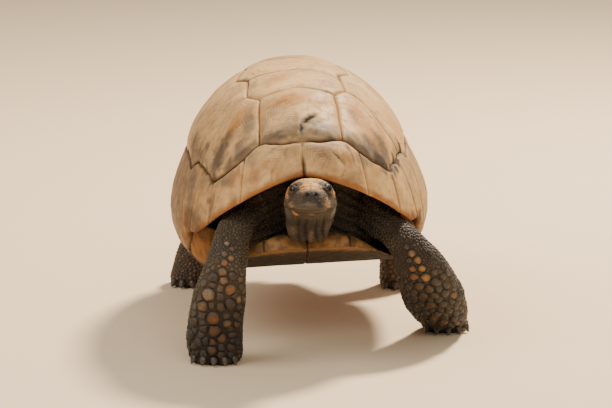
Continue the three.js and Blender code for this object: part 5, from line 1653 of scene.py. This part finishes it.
def coat(name, chosen, material):
    made = []
    low = 0
    for largest, round_points, rings in CAP_KINDS:
        group = np.flatnonzero(chosen & (sizes > low) & (sizes <= largest))
        low = largest
        if len(group):
            made.append(caps(group, round_points, rings))
    starts = np.cumsum([0] + [len(m[0]) for m in made[:-1]])
    points = np.concatenate([m[0] for m in made])
    points[:, 2] = np.maximum(points[:, 2], 0.02)
    loops = np.concatenate([m[1] + s for m, s in zip(made, starts)])
    totals = np.concatenate([m[2] for m in made])
    mesh = bpy.data.meshes.new(name)
    mesh.vertices.add(len(points))
    mesh.vertices.foreach_set("co", in_place(points).ravel())
    mesh.loops.add(len(loops))
    mesh.loops.foreach_set("vertex_index", loops)
    mesh.polygons.add(len(totals))
    mesh.polygons.foreach_set("loop_start", np.concatenate([[0], np.cumsum(totals)[:-1]]))
    mesh.update(calc_edges=True)
    mesh.polygons.foreach_set("use_smooth", np.ones(len(totals), bool))
    unwrap = mesh.uv_layers.new(name="OFBake")
    unwrap.data.foreach_set("uv", np.concatenate([m[5] for m in made])[loops].ravel())
    piece = bpy.data.objects.new(name, mesh)
    bpy.context.collection.objects.link(piece)
    store(piece, "tone", np.clip(np.concatenate([m[3] for m in made]), 0, 1))
    store(piece, "edge", np.concatenate([m[4] for m in made]))
    mesh.materials.append(material)
    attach(piece, "root")


def scale_horn(name, roughness, grooves, dark_rim):
    material, tree, look, place = finish(name)
    tone, edge = read(tree, "tone").outputs["Color"], read(tree, "edge").outputs["Fac"]
    mottle = cloud(tree, place, 330.0, 0.3, 0.72, 6.0)
    fine = node(tree, "ShaderNodeTexNoise", Vector=place, Scale=1500.0, Detail=4.0).outputs["Fac"]
    colour = blend(tree, times(tree, mottle, 0.5), tone, (0.03, 0.02, 0.014, 1))
    stain = cloud(tree, place, 130.0, 0.42, 0.66, 4.0)
    colour = tinted(tree, colour, stain, 0.4, (0.03, 0.02, 0.014, 1))
    rim = ramp(tree, edge, 0.84, 1.0)
    colour = tinted(tree, colour, rim, dark_rim, (0.022, 0.015, 0.010, 1))
    link(tree, colour, look.inputs["Base Color"])
    rings = math_node(tree, "SINE", times(tree, edge, 34.0))
    height = plus(tree, times(tree, rings, grooves), fine)
    bumped(tree, look, height, 0.45, 0.00025)
    link(tree, ramp(tree, mottle, 0.0, 1.0, roughness, roughness + 0.2), look.inputs["Roughness"])
    look.inputs["Specular IOR Level"].default_value = 0.45
    return material


leg_scales = scale_horn("leg_scales", 0.42, 0.35, 0.8)
head_scales = scale_horn("head_scales", 0.5, 0.05, 0.3)
coat("scales_head", head, head_scales)
coat("scales_neck", (part == 0) & ~head, leg_scales)
coat("scales_tail", part == 1, leg_scales)
for number, leg in enumerate(LIMBS, 2):
    coat(f"scales_{leg}", part == number, leg_scales)

# ---------------------------------------------------------------- claws
# Blunt, slightly curved nails of grey-brown horn, worn pale at the tip by the ground. Five stand round
# each forefoot and four round each hind foot, rooted in the hide.
CLAWS = {"foreleg_right": (-58, -30, -3, 24, 50), "foreleg_left": (-48, -20, 8, 36, 62),
         "hindleg_right": (-48, -20, 8, 36), "hindleg_left": (-40, -12, 16, 44)}
CLAW_TURN = 0.6
CLAW_SIZE = {"fore": (4.8, 3.7), "hind": (5.6, 4.2)}
claw_horn, tree, look, place = finish("claw_horn")
worn = read(tree, "worn").outputs["Fac"]
lengthways = node(tree, "ShaderNodeCombineXYZ", _0=times(tree, read(tree, "round").outputs["Fac"], 4.0),
                  _1=times(tree, worn, 0.8), _2=0.0).outputs[0]
streaks = node(tree, "ShaderNodeTexNoise", Vector=lengthways, Scale=2.2, Detail=5.0,
               Roughness=0.65).outputs["Fac"]
colour = blend(tree, streaks, (0.018, 0.012, 0.008, 1), (0.045, 0.031, 0.02, 1))
colour = tinted(tree, colour, worn, cloud(tree, place, 300.0, 0.3, 0.7), (0.08, 0.056, 0.036, 1))
dirt = cloud(tree, place, 210.0, 0.45, 0.7, 6.0)
colour = tinted(tree, colour, dirt, 0.6, (0.05, 0.034, 0.022, 1))
link(tree, colour, look.inputs["Base Color"])
link(tree, ramp(tree, dirt, 0.0, 1.0, 0.34, 0.6), look.inputs["Roughness"])
bumped(tree, look, streaks, 0.5, 0.0003)
for leg, directions in CLAWS.items():
    length, radius = CLAW_SIZE[leg[:4]]
    foot = LIMBS[leg][-2]
    for number, direction in enumerate(directions, 1):
        heading = [np.array((math.sin(math.radians(a)), -math.cos(math.radians(a)), 0))
                   for a in (direction, direction * CLAW_TURN)]
        outward, forward = heading
        root = np.array((foot[0], foot[1], 0)) + outward / math.hypot(outward[0] / foot[3],
                outward[1] / foot[4])
        side = np.cross(forward, (0, 0, 1))
        t = np.linspace(-6, length + 1.4, 18)[:, None]
        high = curve((-6, 8.2), (0.35 * length, 7.2), (0.8 * length, 4.4), (length, 2.7),
                     (length + 1.4, 1.5))(t)
        girth = radius * curve((-6, 1), (0.35 * length, 0.92), (0.8 * length, 0.62), (length, 0.38),
                               (length + 1.4, 0.03))(t)
        a = np.linspace(0, 2 * math.pi, 20, endpoint=False)[None]
        ridged = girth * (1 + 0.03 * np.cos(5 * a + number) + 0.02 * np.cos(9 * a))
        flat_under = np.where(np.sin(a) < 0, 0.66, 0.88)
        rings = (root + forward * t[..., None] + (0, 0, 1) * high[..., None]
                 + side * (ridged * np.cos(a))[..., None]
                 + (0.35 * forward + (0, 0, 0.94)) * (ridged * flat_under * np.sin(a))[..., None])
        rings[..., 2] = np.maximum(rings[..., 2], 0.3)
        for row in (0, -1):
            rings[row] = rings[row].mean(0)
        claw = ringed(f"nail_{leg}_{number}", in_place(rings), worn=smooth(t, 0.3 * length, length) + 0 * a,
                      round=np.cos(a) + 0 * t + number * 7)
        claw.data.materials.append(claw_horn)
        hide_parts(f"claw_{leg}_{number}")
        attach(claw, "root")
